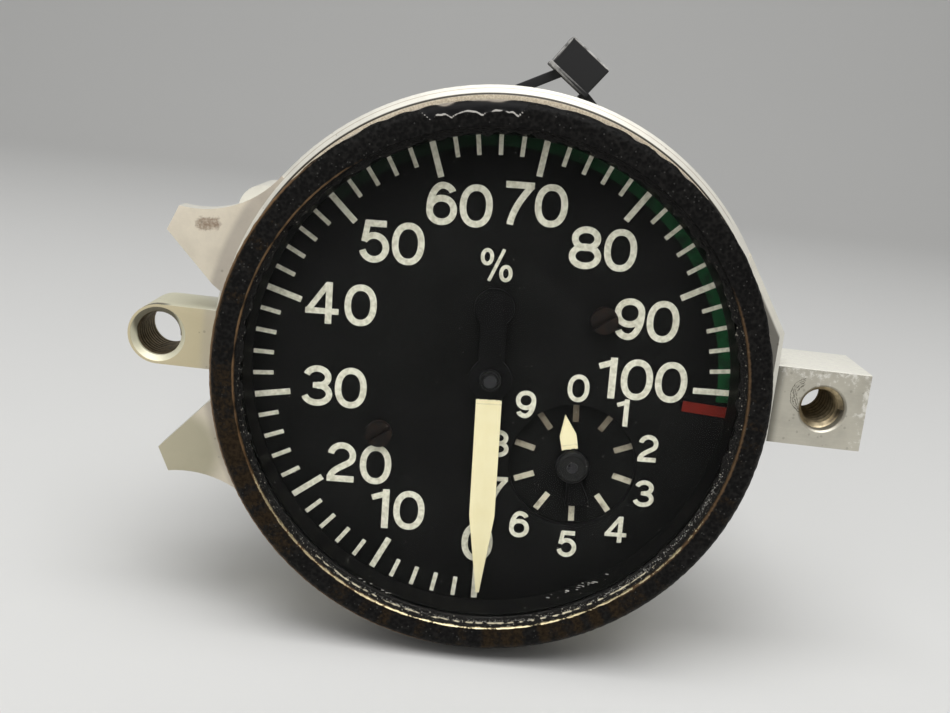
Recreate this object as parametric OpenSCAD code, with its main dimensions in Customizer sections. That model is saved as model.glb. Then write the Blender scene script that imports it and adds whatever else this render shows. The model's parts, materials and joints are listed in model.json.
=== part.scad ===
// Two-inch aircraft tachometer: percent dial with a small unit dial,
// magnetic drag movement driven by a small three-phase motor.
// Drawn looking at the dial: x right, y up, z towards the viewer, then turned so the dial faces -Y.
// The origin is midway between the two panel screw holes, on the front face of the lugs.

/* [Bezel and glass] */
// Outside diameter of the bezel
bezel_d = 50.8; // [48:0.1:56]
// How far the bezel stands in front of the lug faces
bezel_reach = 7; // [6.6:0.1:8.5]
// Length of the bezel along the axis
bezel_len = 6.2; // [5.6:0.1:6.3]
// Wall of the bezel round the glass
bezel_wall = 1.2; // [1:0.05:1.5]
// Radial width of the lip over the glass
lip_w = 2.43; // [2:0.01:3]
// Thickness of the lip
lip_t = 0.8; // [0.6:0.05:1]
// Rounding of the bezel's outer front edge
bezel_round = 0.9; // [0.4:0.1:1.1]
// Thickness of the cover glass
glass_t = 1.8; // [1.2:0.1:2.2]
// Thickness of the gasket behind the glass
gasket_t = 0.5; // [0.3:0.05:0.6]
// Depth from the back of the glass to the dial face
dial_gap = 2.4; // [2.3:0.1:3]

/* [Flange and lugs] */
// How far the flange stands out past the bezel
flange_over = 1.2; // [0.8:0.1:2]
// Thickness of the flange plate and its fins
flange_t = 2.4; // [1.8:0.1:3.5]
// Length of the collar behind the lug faces
collar_len = 9.1; // [8.5:0.1:10.5]
// Spacing of the panel screw holes with the flange as drawn; a wider flange moves them out with its edge
hole_spacing = 63.5; // [62.8:0.1:65]
// Hole in each lug, tapped for a wire thread insert
insert_hole_d = 4.3; // [3.8:0.1:4.5]
// Clear bore of the wire thread insert, at its screw's outside diameter
insert_bore_d = 3.5; // [2.8:0.1:3.6]
// How far the insert lies under the face
insert_sunk = 0.55; // [0.3:0.05:1]
// Chamfer at the mouth of the right block's hole
hole_chamfer = 0.2; // [0.1:0.05:0.3]
// Countersink at the mouth of the left lug's bare hole
lug_sink = 0.5; // [0.2:0.05:0.6]
// Width of the round left lug
lug_w = 5.74; // [5.2:0.02:7]
// Depth of the round left lug
lug_depth = 6.8; // [5:0.1:8.5]
// Width of the right lug block, from its pad to its outer end
block_w = 8.9; // [8.4:0.1:10]
// Height of the right lug block
block_h = 7.5; // [7.2:0.1:9]
// Depth of the right lug block
block_depth = 9.1; // [8:0.1:9.1]
// Height of the flat pad behind the right block
pad_h = 10.55; // [9:0.05:15]
// How far the pad reaches below the lug line
pad_down = 3.7; // [3:0.1:6]
// How far each fin reaches past the flange
fin_reach = 6.4; // [4:0.1:7]
// Turn of the two fins round the axis, degrees
fin_turn = 0.95; // [-2:0.05:2]
// Radius of the hollow curve on each fin's outer edge
fin_hollow = 9.8; // [8:0.1:12]
// Radius of the round boss behind each fin
boss_r = 2.4; // [1.5:0.1:2.8]

/* [Case and connector] */
// Wall of the case
case_wall = 1.35; // [1:0.05:1.5]
// Length of the case behind the front plate
case_len = 77.2; // [76.8:0.1:90]
// Thickness of the case back
back_t = 2.4; // [1.8:0.1:3]
// Side of the square connector flange
conn_side = 25.4; // [24.5:0.1:26]
// Thickness of the connector flange
conn_flange_t = 2.8; // [2:0.1:4]
// Spacing of the connector's fixing screws
conn_pitch = 18.26; // [18:0.02:19]
// Outside diameter of the connector's barrel
conn_d = 15.875; // [15:0.125:16.5]
// Length of the connector's barrel past its flange
conn_len = 11.6; // [10.6:0.1:14]
// Diameter of each contact pin
pin_d = 1.57; // [1:0.01:2]
// Pitch circle radius of the contact pins
pin_pcr = 3.3; // [2.8:0.1:4]

/* [Cable tie] */
// Distance of the tie behind the lug faces
tie_back = 14.2; // [12:0.1:30]
// Width of the tie's strap
tie_w = 2.5; // [2:0.1:3.6]
// Thickness of the tie's strap
tie_t = 1; // [0.8:0.05:1.3]

/* [Dials and pointers] */
// Turn of the dial and movement against the lugs, degrees
dial_turn = 2.2; // [-3:0.1:3]
// Thickness of the main dial
dial_t = 0.8; // [0.5:0.05:1]
// Thickness of the unit dial
sub_dial_t = 0.5; // [0.3:0.05:0.6]
// Radius of the round window over the unit dial
sub_window_r = 5.44; // [5.2:0.02:6]
// Distance of the unit pointer's axis from the main axis
sub_dist = 11.6; // [11.2:0.01:12.2]
// Direction of the unit pointer's axis, degrees clockwise from the top
sub_dir = 133.9; // [130:0.1:138]
// Distance of each dial screw from the main axis
dial_screw_r = 11.8; // [11.2:0.1:12.5]
// Direction of the first dial screw, degrees clockwise from the top
dial_screw_dir = 58.5; // [50:0.5:70]
// Length of the main pointer's blade from the axis
pointer_len = 21; // [19:0.1:21.4]
// Width of the main pointer's blade
pointer_w = 2.4; // [1.8:0.05:3]
// Turn of the main pointer at rest from the zero tick, degrees
pointer_rest = -0.9; // [-3:0.1:0]
// Length of the unit pointer from its axis
sub_pointer_len = 5.05; // [4.4:0.05:5.1]
// Turn of the unit pointer at rest from its zero tick, degrees
sub_pointer_rest = -12; // [-40:0.5:40]
// Thickness of both pointers
pointer_t = 0.35; // [0.25:0.05:0.5]

/* [Gear train] */
// Teeth on the main wheel
main_teeth = 64;
// Teeth on the idler pinion
idler_pinion_teeth = 16;
// Teeth on the idler wheel
idler_wheel_teeth = 50;
// Teeth on the unit pinion
sub_pinion_teeth = 15;
// Module of the first pair
module_a = 0.25;
// Module of the second pair
module_b = 0.3;
// Thinning of each tooth for backlash
backlash = 0.06; // [0.04:0.01:0.08]
// Face width of the wheels
wheel_t = 1; // [0.6:0.1:1.2]
// Radius of the pointer arbors
arbor_r = 0.6; // [0.5:0.05:0.7]

/* [Drag movement and motor] */
// Outside radius of the drag cup
cup_r = 9; // [8.5:0.1:9.3]
// Wall of the drag cup
cup_t = 0.5; // [0.3:0.05:0.6]
// Air gap on each side of the drag cup
air_gap = 0.5; // [0.3:0.05:0.6]
// Length of the drag cup
cup_len = 12; // [9:0.1:12.5]
// Radius of the motor shaft
shaft_r = 1.5; // [1.2:0.05:1.8]
// Length of the stator core
stator_len = 16; // [12:0.5:18]
// Radius of the motor's rotor
rotor_r = 8.9; // [8:0.1:9.2]
// Air gap between the rotor and the stator
motor_gap = 0.4; // [0.25:0.05:0.5]

/* [Clearances] */
// Gap between pieces that are fixed together
fit_gap = 0.02; // [0.01:0.005:0.04]
// Gap between a turning shaft and its bearing
run_gap = 0.04; // [0.02:0.005:0.08]
// Gap between the bezel and the spigot it fits over
bezel_gap = 0.1; // [0.05:0.01:0.2]

/* [Hidden] */
$fn = 64;

// Front stack, all measured from the lug faces towards the viewer
bezel_r = bezel_d / 2;
bezel_back = bezel_reach - bezel_len;
lip_z = bezel_reach - lip_t;
glass_z = lip_z - glass_t;
gasket_z = glass_z - gasket_t;
dial_z = glass_z - dial_gap;
dial_back = dial_z - dial_t;
view_r = bezel_r - lip_w;
bezel_ir = bezel_r - bezel_wall;
spigot_r = bezel_ir - bezel_gap;
spigot_wall = 1.1;
bore_r = spigot_r - spigot_wall;
glass_r = bezel_ir - 0.2;
flange_r = bezel_r + flange_over;
collar_r = bezel_r + 0.1;
flange_face = -0.3;
flange_rise = 0.9;
rise_r = bezel_r + 0.3;
flange_r_drawn = 26.6;
hole_x = hole_spacing / 2 + flange_r - flange_r_drawn;
insert_hole_r = insert_hole_d / 2;
lug_sink_wall = 0.15;
lug_sink_w = min(lug_sink, lug_w / 2 - insert_hole_r - lug_sink_wall);

// Fins: points on circles round the axis, angles clockwise from the top on the right side
fin_tip_r = flange_r + fin_reach;
fin_root_dir = 77.8;
fin_tip_dir = 71.3;
fin_top_dir = 66.9;
fin_hollow_dist = flange_r + fin_hollow;
fin_top_r = fin_tip_r - 0.15;
fin_hollow_cos = (pow(fin_hollow_dist, 2) + pow(fin_top_r, 2) - pow(fin_hollow, 2))
    / (2 * fin_hollow_dist * fin_top_r);
fin_hollow_dir = fin_top_dir - acos(fin_hollow_cos);
boss_dir = 61.5;
boss_dist = flange_r - 0.4;

// Right block and the flat pad it is screwed to
pad_over = 0.4;
pad_x = flange_r + pad_over;
pad_up = pad_h - pad_down;
pad_top_dir = atan2(pad_x, pad_up) - acos(flange_r / norm([pad_x, pad_up]));
pad_in = bore_r + 0.6;
block_screw_z = -block_depth / 2;
block_screw_y = 2.2;
block_screw_r = 0.9;
block_screw_head = 1.7;
block_screw_wall = 0.4;
block_screw_bite = hole_x - insert_hole_r - pad_x - block_screw_wall;

// Case
case_r = bore_r - fit_gap;
case_ir = case_r - case_wall;
plate_t = 1.6;
plate_top = dial_back - 2.4;
plate_back = plate_top - plate_t;
case_back = plate_back - case_len;
case_floor = case_back + back_t;

// Movement levels behind the front plate
gear_space = 9;
bridge_top = plate_back - gear_space;
bridge_back = bridge_top - plate_t;
level_b = plate_back - 1.2;
level_a = plate_back - 4.2;
level_spring = plate_back - 6.8;
spring_h = 0.8;
movement_r = case_ir - 0.9;
pillar_dist = case_ir - 3.2;
pillar_r = 1.5;
pillar_dirs = [30, 140, 265];
pillar_screw_r = 0.7;

// Gear train geometry
pitch_main = module_a * main_teeth / 2;
pitch_idler_pinion = module_a * idler_pinion_teeth / 2;
pitch_idler_wheel = module_b * idler_wheel_teeth / 2;
pitch_sub = module_b * sub_pinion_teeth / 2;
idler_dist = pitch_main + pitch_idler_pinion;
idler_sub = pitch_idler_wheel + pitch_sub;
idler_angle = acos((sub_dist * sub_dist + idler_dist * idler_dist - idler_sub * idler_sub)
    / (2 * sub_dist * idler_dist));
idler_dir = sub_dir + idler_angle;
sub_at = polar(sub_dist, sub_dir);
idler_at = polar(idler_dist, idler_dir);
thin_arbor_r = arbor_r - 0.1;
jewel_r = 1.6;
hub_core = arbor_r + 0.2;
dial_screw_bite = 1.6;
standoff_bite = 3.5;
screw_room = 0.3;

// Drag cup, magnet and flux cup behind the bridge
cup_top = bridge_back - 1.6;
cup_bottom = cup_top - cup_len;
cup_plate = 0.6;
magnet_r = cup_r - cup_t - air_gap;
magnet_top = cup_top - cup_plate - 1.4;
magnet_bottom = cup_bottom + 0.5;
flux_ir = cup_r + air_gap;
flux_r = flux_ir + 1.5;
flux_floor = cup_bottom - 1.4;
flux_back = flux_floor - 1.5;
motor_top = flux_back - 3;
motor_plate_t = 2;
stator_r = movement_r;
stator_ir = rotor_r + motor_gap;
coil_over = 3;
stator_top = motor_top - motor_plate_t - coil_over - 2;
stator_bottom = stator_top - stator_len;
motor_back_top = stator_bottom - coil_over - 4;
motor_back = motor_back_top - motor_plate_t;
bush_r = 3;
tooth_tip = 1.9;
tooth_w = 5;
coil_t = 1.9;
coil_gap = 0.15;
bolt_dist = pillar_dist;
bolt_r = 1;
bolt_wall = 1.1;
bolt_bite = 4;
stator_slot_in = stator_ir + tooth_tip;
stator_slot_out = bolt_dist - bolt_r - bolt_wall;
coil_half = tooth_w / 2 + coil_t + coil_gap;
coil_in = stator_slot_in + 2 * coil_gap;
coil_out = sqrt(pow(stator_slot_out - coil_gap, 2) - pow(coil_half, 2));
standoff_dist = case_ir - 4.1;
standoff_r = 2;
standoff_dirs = [0, 90, 180];
standoff_screw_r = 1;

// Connector
conn_gasket_t = 0.8;
conn_face = case_back - conn_gasket_t;
conn_mouth = conn_face - conn_flange_t - conn_len;
conn_r = conn_d / 2;
conn_ir = conn_r - 1.35;
conn_rear_r = conn_r - 0.3;
conn_rear_z = case_floor + 1.2;
conn_insert_face = conn_face - conn_flange_t - 0.9;
pin_tip = conn_mouth + 4.8;
pin_rear = conn_rear_z + 1.5;
conn_hole_r = conn_r - 0.1;
conn_screw_r = 1.1;
wire_r = 0.5;
wire_dist = (coil_in + coil_out) / 2;
wire_room = motor_back - pin_rear;
wire_bend = motor_back - 0.25 * wire_room;
pin_bend = pin_rear + 0.35 * wire_room;

// Cable tie: strap round the case, then two straight runs up to the head, each tangent to the strap
tie_in = case_r + 0.03;
tie_out = tie_in + tie_t;
tie_mid = tie_in + tie_t / 2;
tie_head = [5.1, 3.7, 4.4];
tie_head_rise = 6.2;
tie_head_dir = 10.75;
tie_head_tilt = -36;
tie_head_at = polar(tie_mid + tie_head_rise, tie_head_dir);
tie_left_end = head_point(-1.6, -1.6);
tie_right_end = head_point(2, -1.7);
tie_left = point_dir(tie_left_end) - acos(tie_mid / norm(tie_left_end));
tie_right = point_dir(tie_right_end) + acos(tie_mid / norm(tie_right_end));
tie_left_run = sqrt(pow(norm(tie_left_end), 2) - tie_mid * tie_mid);
tie_right_run = sqrt(pow(norm(tie_right_end), 2) - tie_mid * tie_mid);

// A point in the tie head's own directions, along it and across it
function head_point(a, b) = tie_head_at + a * [cos(tie_head_tilt), sin(tie_head_tilt)]
    + b * [-sin(tie_head_tilt), cos(tie_head_tilt)];

// Direction of a point, degrees clockwise from the top
function point_dir(p) = atan2(p[0], p[1]);

// A point at radius r, a degrees clockwise from the top
function polar(r, a) = [r * sin(a), r * cos(a)];

// Turns a piece of the case so the dial faces -Y
module front() {
    rotate([90, 0, 0]) children();
}

// The same for pieces of the dial and movement, which sit a little turned in the case
module inner() {
    rotate([90, 0, 0]) rotate([0, 0, dial_turn]) children();
}

// A cylinder between two heights
module rod(r, z0, z1) {
    translate([0, 0, min(z0, z1)]) cylinder(r = r, h = abs(z1 - z0));
}

// A ring between two heights
module ring(r, ir, z0, z1) {
    difference() {
        rod(r, z0, z1);
        rod(ir, min(z0, z1) - 1, max(z0, z1) + 1);
    }
}

// Children placed at a point given by distance and direction
module at(r, a) {
    p = polar(r, a);
    translate([p[0], p[1], 0]) children();
}

// Involute helper: tangent of the angle less the angle, in degrees
function involute(a) = tan(a) * 180 / PI - a;

// Half of a tooth's angle at radius r
function tooth_half(r, rp, rb, m) = ((PI * m / 2 - backlash) / 2 / rp) * 180 / PI
    + involute(20) - (r > rb ? involute(acos(rb / r)) : 0);

// Outline of a gear with one tooth centred on +x
function gear_points(teeth, m, add) =
    let (rp = m * teeth / 2, rb = rp * cos(20), ro = rp + add * m, rr = rp - 1.25 * m,
        radii = [rr, max(rb, rr + 0.02), rp, ro])
    [for (i = [0:teeth - 1]) for (j = [0:7])
        let (k = j < 4 ? j : 7 - j, s = j < 4 ? -1 : 1, r = radii[k],
            a = i * 360 / teeth + s * tooth_half(r, rp, rb, m))
        [r * cos(a), r * sin(a)]];

// A gear with a bore, one tooth centred on the direction given
module gear(teeth, m, add, dir, z0, t, bore) {
    rotate([0, 0, 90 - dir]) difference() {
        translate([0, 0, z0 - t]) linear_extrude(t) polygon(gear_points(teeth, m, add));
        rod(bore, z0 - t - 1, z0 + 1);
    }
}

// Bezel: round tube with an inward lip and a rounded front edge
module bezel() {
    color([0.05, 0.05, 0.05]) front() difference() {
        union() {
            rod(bezel_r, bezel_back, bezel_reach - bezel_round);
            rod(bezel_r - bezel_round, bezel_back, bezel_reach);
            translate([0, 0, bezel_reach - bezel_round]) rotate_extrude()
                translate([bezel_r - bezel_round, 0]) circle(r = bezel_round);
        }
        rod(bezel_ir, bezel_back - 1, lip_z);
        rod(view_r, bezel_back - 1, bezel_reach + 1);
        translate([0, 0, bezel_reach - 0.35]) cylinder(r1 = view_r, r2 = view_r + 0.7, h = 0.7);
    }
}

// Flat cover glass under the lip
module cover_glass() {
    color([0.8, 0.88, 0.9, 0.3]) front() rod(glass_r, glass_z, lip_z);
}

// Gasket between the glass and the spigot
module glass_gasket() {
    color([0.08, 0.08, 0.08]) front() ring(glass_r, bore_r + 0.05, gasket_z, glass_z);
}

// Sloped black ring between the dial and the glass
module dial_spacer() {
    color([0.06, 0.06, 0.06]) front() difference() {
        rod(bore_r - fit_gap, dial_z, glass_z - 0.2);
        translate([0, 0, dial_z]) cylinder(r1 = bore_r - 0.75, r2 = bore_r - 0.3, h = glass_z - 0.2 - dial_z);
    }
}

// Main dial with the round window over the unit dial and two screw holes
module dial_plate() {
    color([0.1, 0.1, 0.1]) inner() difference() {
        rod(bore_r - 0.1, dial_back, dial_z);
        rod(1.2, dial_back - 1, dial_z + 1);
        translate([sub_at[0], sub_at[1], 0]) rod(sub_window_r, dial_back - 1, dial_z + 1);
        for (k = [0, 180]) at(dial_screw_r, dial_screw_dir + k) rod(0.8, dial_back - 1, dial_z + 1);
    }
}

// Unit dial behind the window
module sub_dial() {
    color([0.09, 0.09, 0.09]) inner() translate([sub_at[0], sub_at[1], 0])
        ring(sub_window_r + 1, 0.9, dial_back - sub_dial_t, dial_back);
}

// Two slotted screws through the dial
module dial_screws() {
    color([0.05, 0.05, 0.05]) inner() for (k = [0, 180]) at(dial_screw_r, dial_screw_dir + k) difference() {
        union() {
            rod(1.25, dial_z, dial_z + 0.7);
            rod(0.65, dial_back - dial_screw_bite, dial_z + 0.1);
        }
        rotate([0, 0, 35]) translate([-2, -0.17, dial_z + 0.35]) cube([4, 0.34, 1]);
    }
}

// One fin on the right side; the left side mirrors it
module fin_shape() {
    hollow_at = polar(fin_hollow_dist, fin_hollow_dir);
    difference() {
        polygon([polar(flange_r - 2, fin_root_dir + 3), polar(flange_r + 0.8, fin_root_dir),
            polar(fin_tip_r, fin_tip_dir), polar(fin_top_r, fin_top_dir), hollow_at,
            polar(flange_r - 2, fin_hollow_dir)]);
        translate(hollow_at) circle(r = fin_hollow);
    }
}

// Flange with spigot, collar, left lug, two fins with bosses and the right pad
module mounting_flange() {
    color([0.78, 0.76, 0.7]) front() difference() {
        union() {
            rod(spigot_r, -1, gasket_z);
            translate([0, 0, flange_face]) cylinder(r1 = flange_r, r2 = rise_r, h = flange_rise);
            rod(flange_r, flange_face, -flange_t);
            rod(collar_r, -flange_t, -collar_len);
            translate([0, 0, -flange_t]) linear_extrude(flange_t) rotate(fin_turn) mirror([1, 0, 0]) {
                fin_shape();
                mirror([0, 1, 0]) fin_shape();
            }
            for (a = [-boss_dir, boss_dir - 180]) at(boss_dist, a) rod(boss_r, -flange_t, -collar_len);
            translate([-hole_x, -lug_w / 2, -lug_depth]) cube([hole_x - bore_r - 0.6, lug_w, lug_depth]);
            translate([-hole_x, 0, 0]) rod(lug_w / 2, -lug_depth, 0);
            translate([0, 0, -block_depth]) linear_extrude(block_depth)
                polygon([polar(flange_r, pad_top_dir), [pad_x, pad_up], [pad_x, -pad_down],
                    [pad_in, -pad_down]]);
        }
        rod(bore_r, -collar_len - 1, gasket_z + 1);
        translate([-hole_x, 0, 0]) {
            rod(insert_hole_r, -lug_depth - 1, 1);
            translate([0, 0, -lug_sink_w])
                cylinder(r1 = insert_hole_r, r2 = insert_hole_r + 2 * lug_sink_w, h = 2 * lug_sink_w);
        }
        for (s = [-1, 1]) translate([0, s * block_screw_y, block_screw_z]) rotate([0, 90, 0]) {
            rod(block_screw_r + fit_gap, 0, pad_x + 1);
            rod(block_screw_head + fit_gap, 0, bore_r + 0.4);
            translate([0, 0, bore_r + 0.4]) cylinder(r1 = block_screw_head + fit_gap,
                r2 = block_screw_r + fit_gap, h = block_screw_head - block_screw_r);
        }
    }
}

// Bare block lug on the right pad
module lug_block() {
    color([0.75, 0.75, 0.75]) front() difference() {
        translate([pad_x, -block_h / 2, -block_depth]) cube([block_w, block_h, block_depth]);
        translate([hole_x, 0, 0]) {
            rod(insert_hole_r, -block_depth - 1, 1);
            translate([0, 0, -hole_chamfer])
                cylinder(r1 = insert_hole_r, r2 = insert_hole_r + 2 * hole_chamfer, h = 2 * hole_chamfer);
        }
        for (s = [-1, 1]) translate([0, s * block_screw_y, block_screw_z]) rotate([0, 90, 0])
            rod(block_screw_r + fit_gap, pad_x - 1, pad_x + block_screw_bite + block_screw_wall / 2);
    }
}

// Two countersunk screws from inside the flange into the block
module lug_block_screws() {
    color([0.6, 0.6, 0.62]) front() for (s = [-1, 1])
        translate([0, s * block_screw_y, block_screw_z]) rotate([0, 90, 0]) {
            rod(block_screw_r, bore_r + 0.4, pad_x + block_screw_bite);
            translate([0, 0, bore_r + 0.4]) cylinder(r1 = block_screw_head, r2 = block_screw_r,
                h = block_screw_head - block_screw_r);
        }
}

// Wire thread insert in the right block, drawn as the sleeve its coils fill
module thread_insert() {
    color([0.55, 0.55, 0.55]) front() translate([hole_x, 0, 0])
        ring(insert_hole_r - fit_gap, insert_bore_d / 2, -block_depth + insert_sunk, -insert_sunk);
}

// Round case closed at the back
module case_body() {
    color([0.7, 0.69, 0.66]) front() difference() {
        rod(case_r, plate_back, case_back);
        rod(case_ir, plate_back + 1, case_floor);
        rod(conn_hole_r, case_floor + 1, case_back - 1);
        for (a = standoff_dirs) at(standoff_dist, a)
            rod(standoff_screw_r + 0.2, case_floor + 1, case_back - 1);
        for (x = [-1, 1]) for (y = [-1, 1]) translate([x * conn_pitch / 2, y * conn_pitch / 2, 0])
            rod(conn_screw_r + 0.1, case_floor + 1, case_back - 1);
    }
}

// Three slotted screws through the case back into the standoffs
module case_screws() {
    color([0.6, 0.6, 0.62]) front() for (a = standoff_dirs) at(standoff_dist, a) difference() {
        union() {
            rod(1.9, case_back, case_back - 1.3);
            rod(standoff_screw_r, case_back - 0.1, case_floor + standoff_bite);
        }
        rotate([0, 0, a * 0.7 + 20]) translate([-3, -0.2, case_back - 2]) cube([6, 0.4, 1.3]);
    }
}

// Gasket under the connector flange
module connector_gasket() {
    color([0.15, 0.12, 0.1]) front() difference() {
        translate([-conn_side / 2, -conn_side / 2, conn_face]) cube([conn_side, conn_side, conn_gasket_t]);
        rod(conn_hole_r, conn_face - 1, case_back + 1);
        for (x = [-1, 1]) for (y = [-1, 1]) translate([x * conn_pitch / 2, y * conn_pitch / 2, 0])
            rod(conn_screw_r + 0.1, conn_face - 1, case_back + 1);
    }
}

// Connector shell: square flange, barrel and the part through the case back
module connector_shell() {
    color([0.55, 0.54, 0.42]) front() difference() {
        union() {
            translate([-conn_side / 2, -conn_side / 2, conn_face - conn_flange_t])
                cube([conn_side, conn_side, conn_flange_t]);
            rod(conn_r, conn_face - conn_flange_t + 0.5, conn_mouth);
            rod(conn_rear_r, conn_face - 0.5, conn_rear_z);
        }
        rod(conn_ir, conn_mouth - 1, conn_rear_z + 1);
        for (x = [-1, 1]) for (y = [-1, 1]) translate([x * conn_pitch / 2, y * conn_pitch / 2, 0])
            rod(conn_screw_r + 0.1, conn_face - conn_flange_t - 1, conn_face + 1);
    }
}

// Insulator that holds the contact pins
module connector_insert() {
    color([0.2, 0.15, 0.1]) front() difference() {
        rod(conn_ir - fit_gap, conn_insert_face, conn_rear_z - 0.4);
        for (a = [0, 120, 240]) at(pin_pcr, a)
            rod(pin_d / 2 + fit_gap, conn_insert_face - 1, conn_rear_z + 1);
    }
}

// Three contact pins
module connector_pins() {
    color([0.8, 0.7, 0.4]) front() for (a = [0, 120, 240]) at(pin_pcr, a) {
        rod(pin_d / 2, pin_tip + 0.5, pin_rear);
        translate([0, 0, pin_tip]) cylinder(r1 = pin_d / 2 - 0.35, r2 = pin_d / 2, h = 0.5);
    }
}

// Four slotted screws that fix the connector, with their ends inside the case
module connector_screws() {
    color([0.6, 0.6, 0.62]) front() for (x = [-1, 1]) for (y = [-1, 1])
        translate([x * conn_pitch / 2, y * conn_pitch / 2, 0]) difference() {
            union() {
                rod(2.1, conn_face - conn_flange_t, conn_face - conn_flange_t - 1.5);
                rod(conn_screw_r, conn_face - conn_flange_t - 0.1, case_floor + 0.6);
            }
            rotate([0, 0, 30 * x + 50 * y]) translate([-3, -0.25, conn_face - conn_flange_t - 2.5])
                cube([6, 0.5, 1.7]);
        }
}

// Nylon tie round the case: strap, two straight runs and the head, one moulded piece
module cable_tie() {
    color([0.06, 0.06, 0.06]) front() {
        translate([0, 0, -tie_back - tie_w / 2]) linear_extrude(tie_w) {
            difference() {
                circle(r = tie_out);
                circle(r = tie_in);
                polygon([[0, 0], polar(60, tie_left), polar(60, 0), polar(60, tie_right)]);
            }
            translate(polar(tie_mid, tie_left)) rotate(-tie_left)
                translate([-0.2, -tie_t / 2]) square([tie_left_run + 0.4, tie_t]);
            translate(polar(tie_mid, tie_right)) rotate(180 - tie_right)
                translate([-0.2, -tie_t / 2]) square([tie_right_run + 0.4, tie_t]);
        }
        translate([tie_head_at[0], tie_head_at[1], -tie_back]) rotate([0, 0, tie_head_tilt])
            translate([-tie_head[0] / 2, -tie_head[1] / 2, -tie_head[2] / 2]) cube(tie_head);
    }
}

// Front plate of the movement
module front_plate() {
    color([0.8, 0.65, 0.35]) inner() difference() {
        rod(bore_r - 0.1, plate_back, plate_top);
        rod(jewel_r + fit_gap, plate_back - 1, plate_top + 1);
        for (p = [sub_at, idler_at]) translate([p[0], p[1], 0])
            rod(jewel_r + fit_gap, plate_back - 1, plate_top + 1);
        for (a = pillar_dirs) at(pillar_dist, a) rod(pillar_screw_r + 0.1, plate_back - 1, plate_top + 1);
    }
}

// Two tapped posts that hold the dial off the front plate
module dial_posts() {
    color([0.8, 0.65, 0.35]) inner() for (k = [0, 180]) at(dial_screw_r, dial_screw_dir + k) difference() {
        rod(1.6, plate_top, dial_back);
        rod(0.65 + fit_gap, dial_back - dial_screw_bite - screw_room, dial_back + 1);
    }
}

// Three pillars between the front plate and the gear bridge
module front_pillars() {
    color([0.75, 0.62, 0.35]) inner() for (a = pillar_dirs) at(pillar_dist, a) difference() {
        union() {
            rod(pillar_r, bridge_top, plate_back);
            rod(pillar_screw_r, bridge_back - 2.5, bridge_top + 0.1);
        }
        rod(pillar_screw_r + fit_gap, plate_back - 3.2, plate_back + 1);
    }
}

// Three screws through the front plate into the pillars
module front_plate_screws() {
    color([0.6, 0.6, 0.62]) inner() for (a = pillar_dirs) at(pillar_dist, a) difference() {
        union() {
            rod(1.3, plate_top, plate_top + 0.9);
            rod(pillar_screw_r, plate_back - 3, plate_top + 0.1);
        }
        rotate([0, 0, a]) translate([-2, -0.17, plate_top + 0.5]) cube([4, 0.34, 1]);
    }
}

// Plate behind the gears
module gear_bridge() {
    color([0.8, 0.65, 0.35]) inner() difference() {
        rod(movement_r, bridge_back, bridge_top);
        rod(jewel_r + fit_gap, bridge_back - 1, bridge_top + 1);
        for (p = [sub_at, idler_at]) translate([p[0], p[1], 0])
            rod(jewel_r + fit_gap, bridge_back - 1, bridge_top + 1);
        for (a = pillar_dirs) at(pillar_dist, a)
            rod(pillar_screw_r + fit_gap, bridge_back - 1, bridge_top + 1);
        at(spring_stud_r, spring_stud_dir) rod(0.5 + fit_gap, bridge_back - 1, bridge_top + 1);
    }
}

// Three pillars from the gear bridge back to the motor
module rear_pillars() {
    color([0.75, 0.62, 0.35]) inner() for (a = pillar_dirs) at(pillar_dist, a) difference() {
        rod(pillar_r, motor_top, bridge_back);
        rod(pillar_screw_r + fit_gap, bridge_back - 2.7, bridge_back + 1);
        rod(bolt_r + fit_gap, motor_top - 1, motor_top + bolt_bite + screw_room);
    }
}

// Six jewel bearings, one at each end of the three arbors
module jewels() {
    color([0.7, 0.1, 0.2]) inner() {
        for (z = [[plate_back, plate_top], [bridge_back, bridge_top]]) {
            ring(jewel_r, arbor_r + run_gap, z[0], z[1]);
            for (p = [sub_at, idler_at]) translate([p[0], p[1], 0])
                ring(jewel_r, thin_arbor_r + run_gap, z[0], z[1]);
        }
    }
}

// Main arbor from the pointer to the drag cup
module main_arbor() {
    color([0.7, 0.7, 0.72]) inner() rod(arbor_r, cup_top - cup_plate, dial_z + 1.9);
}

// Main pointer: blade with a tapered end, hub disc and balance tail
module main_pointer() {
    z0 = dial_z + 0.9;
    color([0.9, 0.85, 0.65]) inner() rotate([0, 0, -pointer_rest]) difference() {
        union() {
            translate([0, 0, z0]) linear_extrude(pointer_t)
                polygon([[-pointer_w / 2, 6.5], [pointer_w / 2, 6.5], [pointer_w / 2, -pointer_len * 0.63],
                    [0.16, -pointer_len], [-0.16, -pointer_len], [-pointer_w / 2, -pointer_len * 0.63]]);
            rod(2, z0, z0 + pointer_t);
            translate([0, 6.7, 0]) rod(1.83, z0, z0 + pointer_t);
        }
        rod(hub_core + fit_gap, z0 - 1, z0 + 1);
    }
}

// Riveted bush that carries the main pointer on its arbor
module pointer_hub() {
    z0 = dial_z + 0.9;
    color([0.08, 0.08, 0.08]) inner() difference() {
        union() {
            rod(hub_core, dial_z + 0.3, dial_z + 1.8);
            rod(1, z0 + pointer_t, dial_z + 1.8);
            rod(1, dial_z + 0.3, z0);
        }
        rod(arbor_r + fit_gap, dial_z - 1, dial_z + 3);
    }
}

// Wheel on the main arbor that drives the unit pointer
module main_wheel() {
    color([0.8, 0.65, 0.3]) inner() {
        gear(main_teeth, module_a, 0.9, idler_dir, level_a, wheel_t, arbor_r + fit_gap);
        ring(1.3, arbor_r + fit_gap, level_a - wheel_t + 0.1, level_a - wheel_t - 0.8);
    }
}

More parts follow.
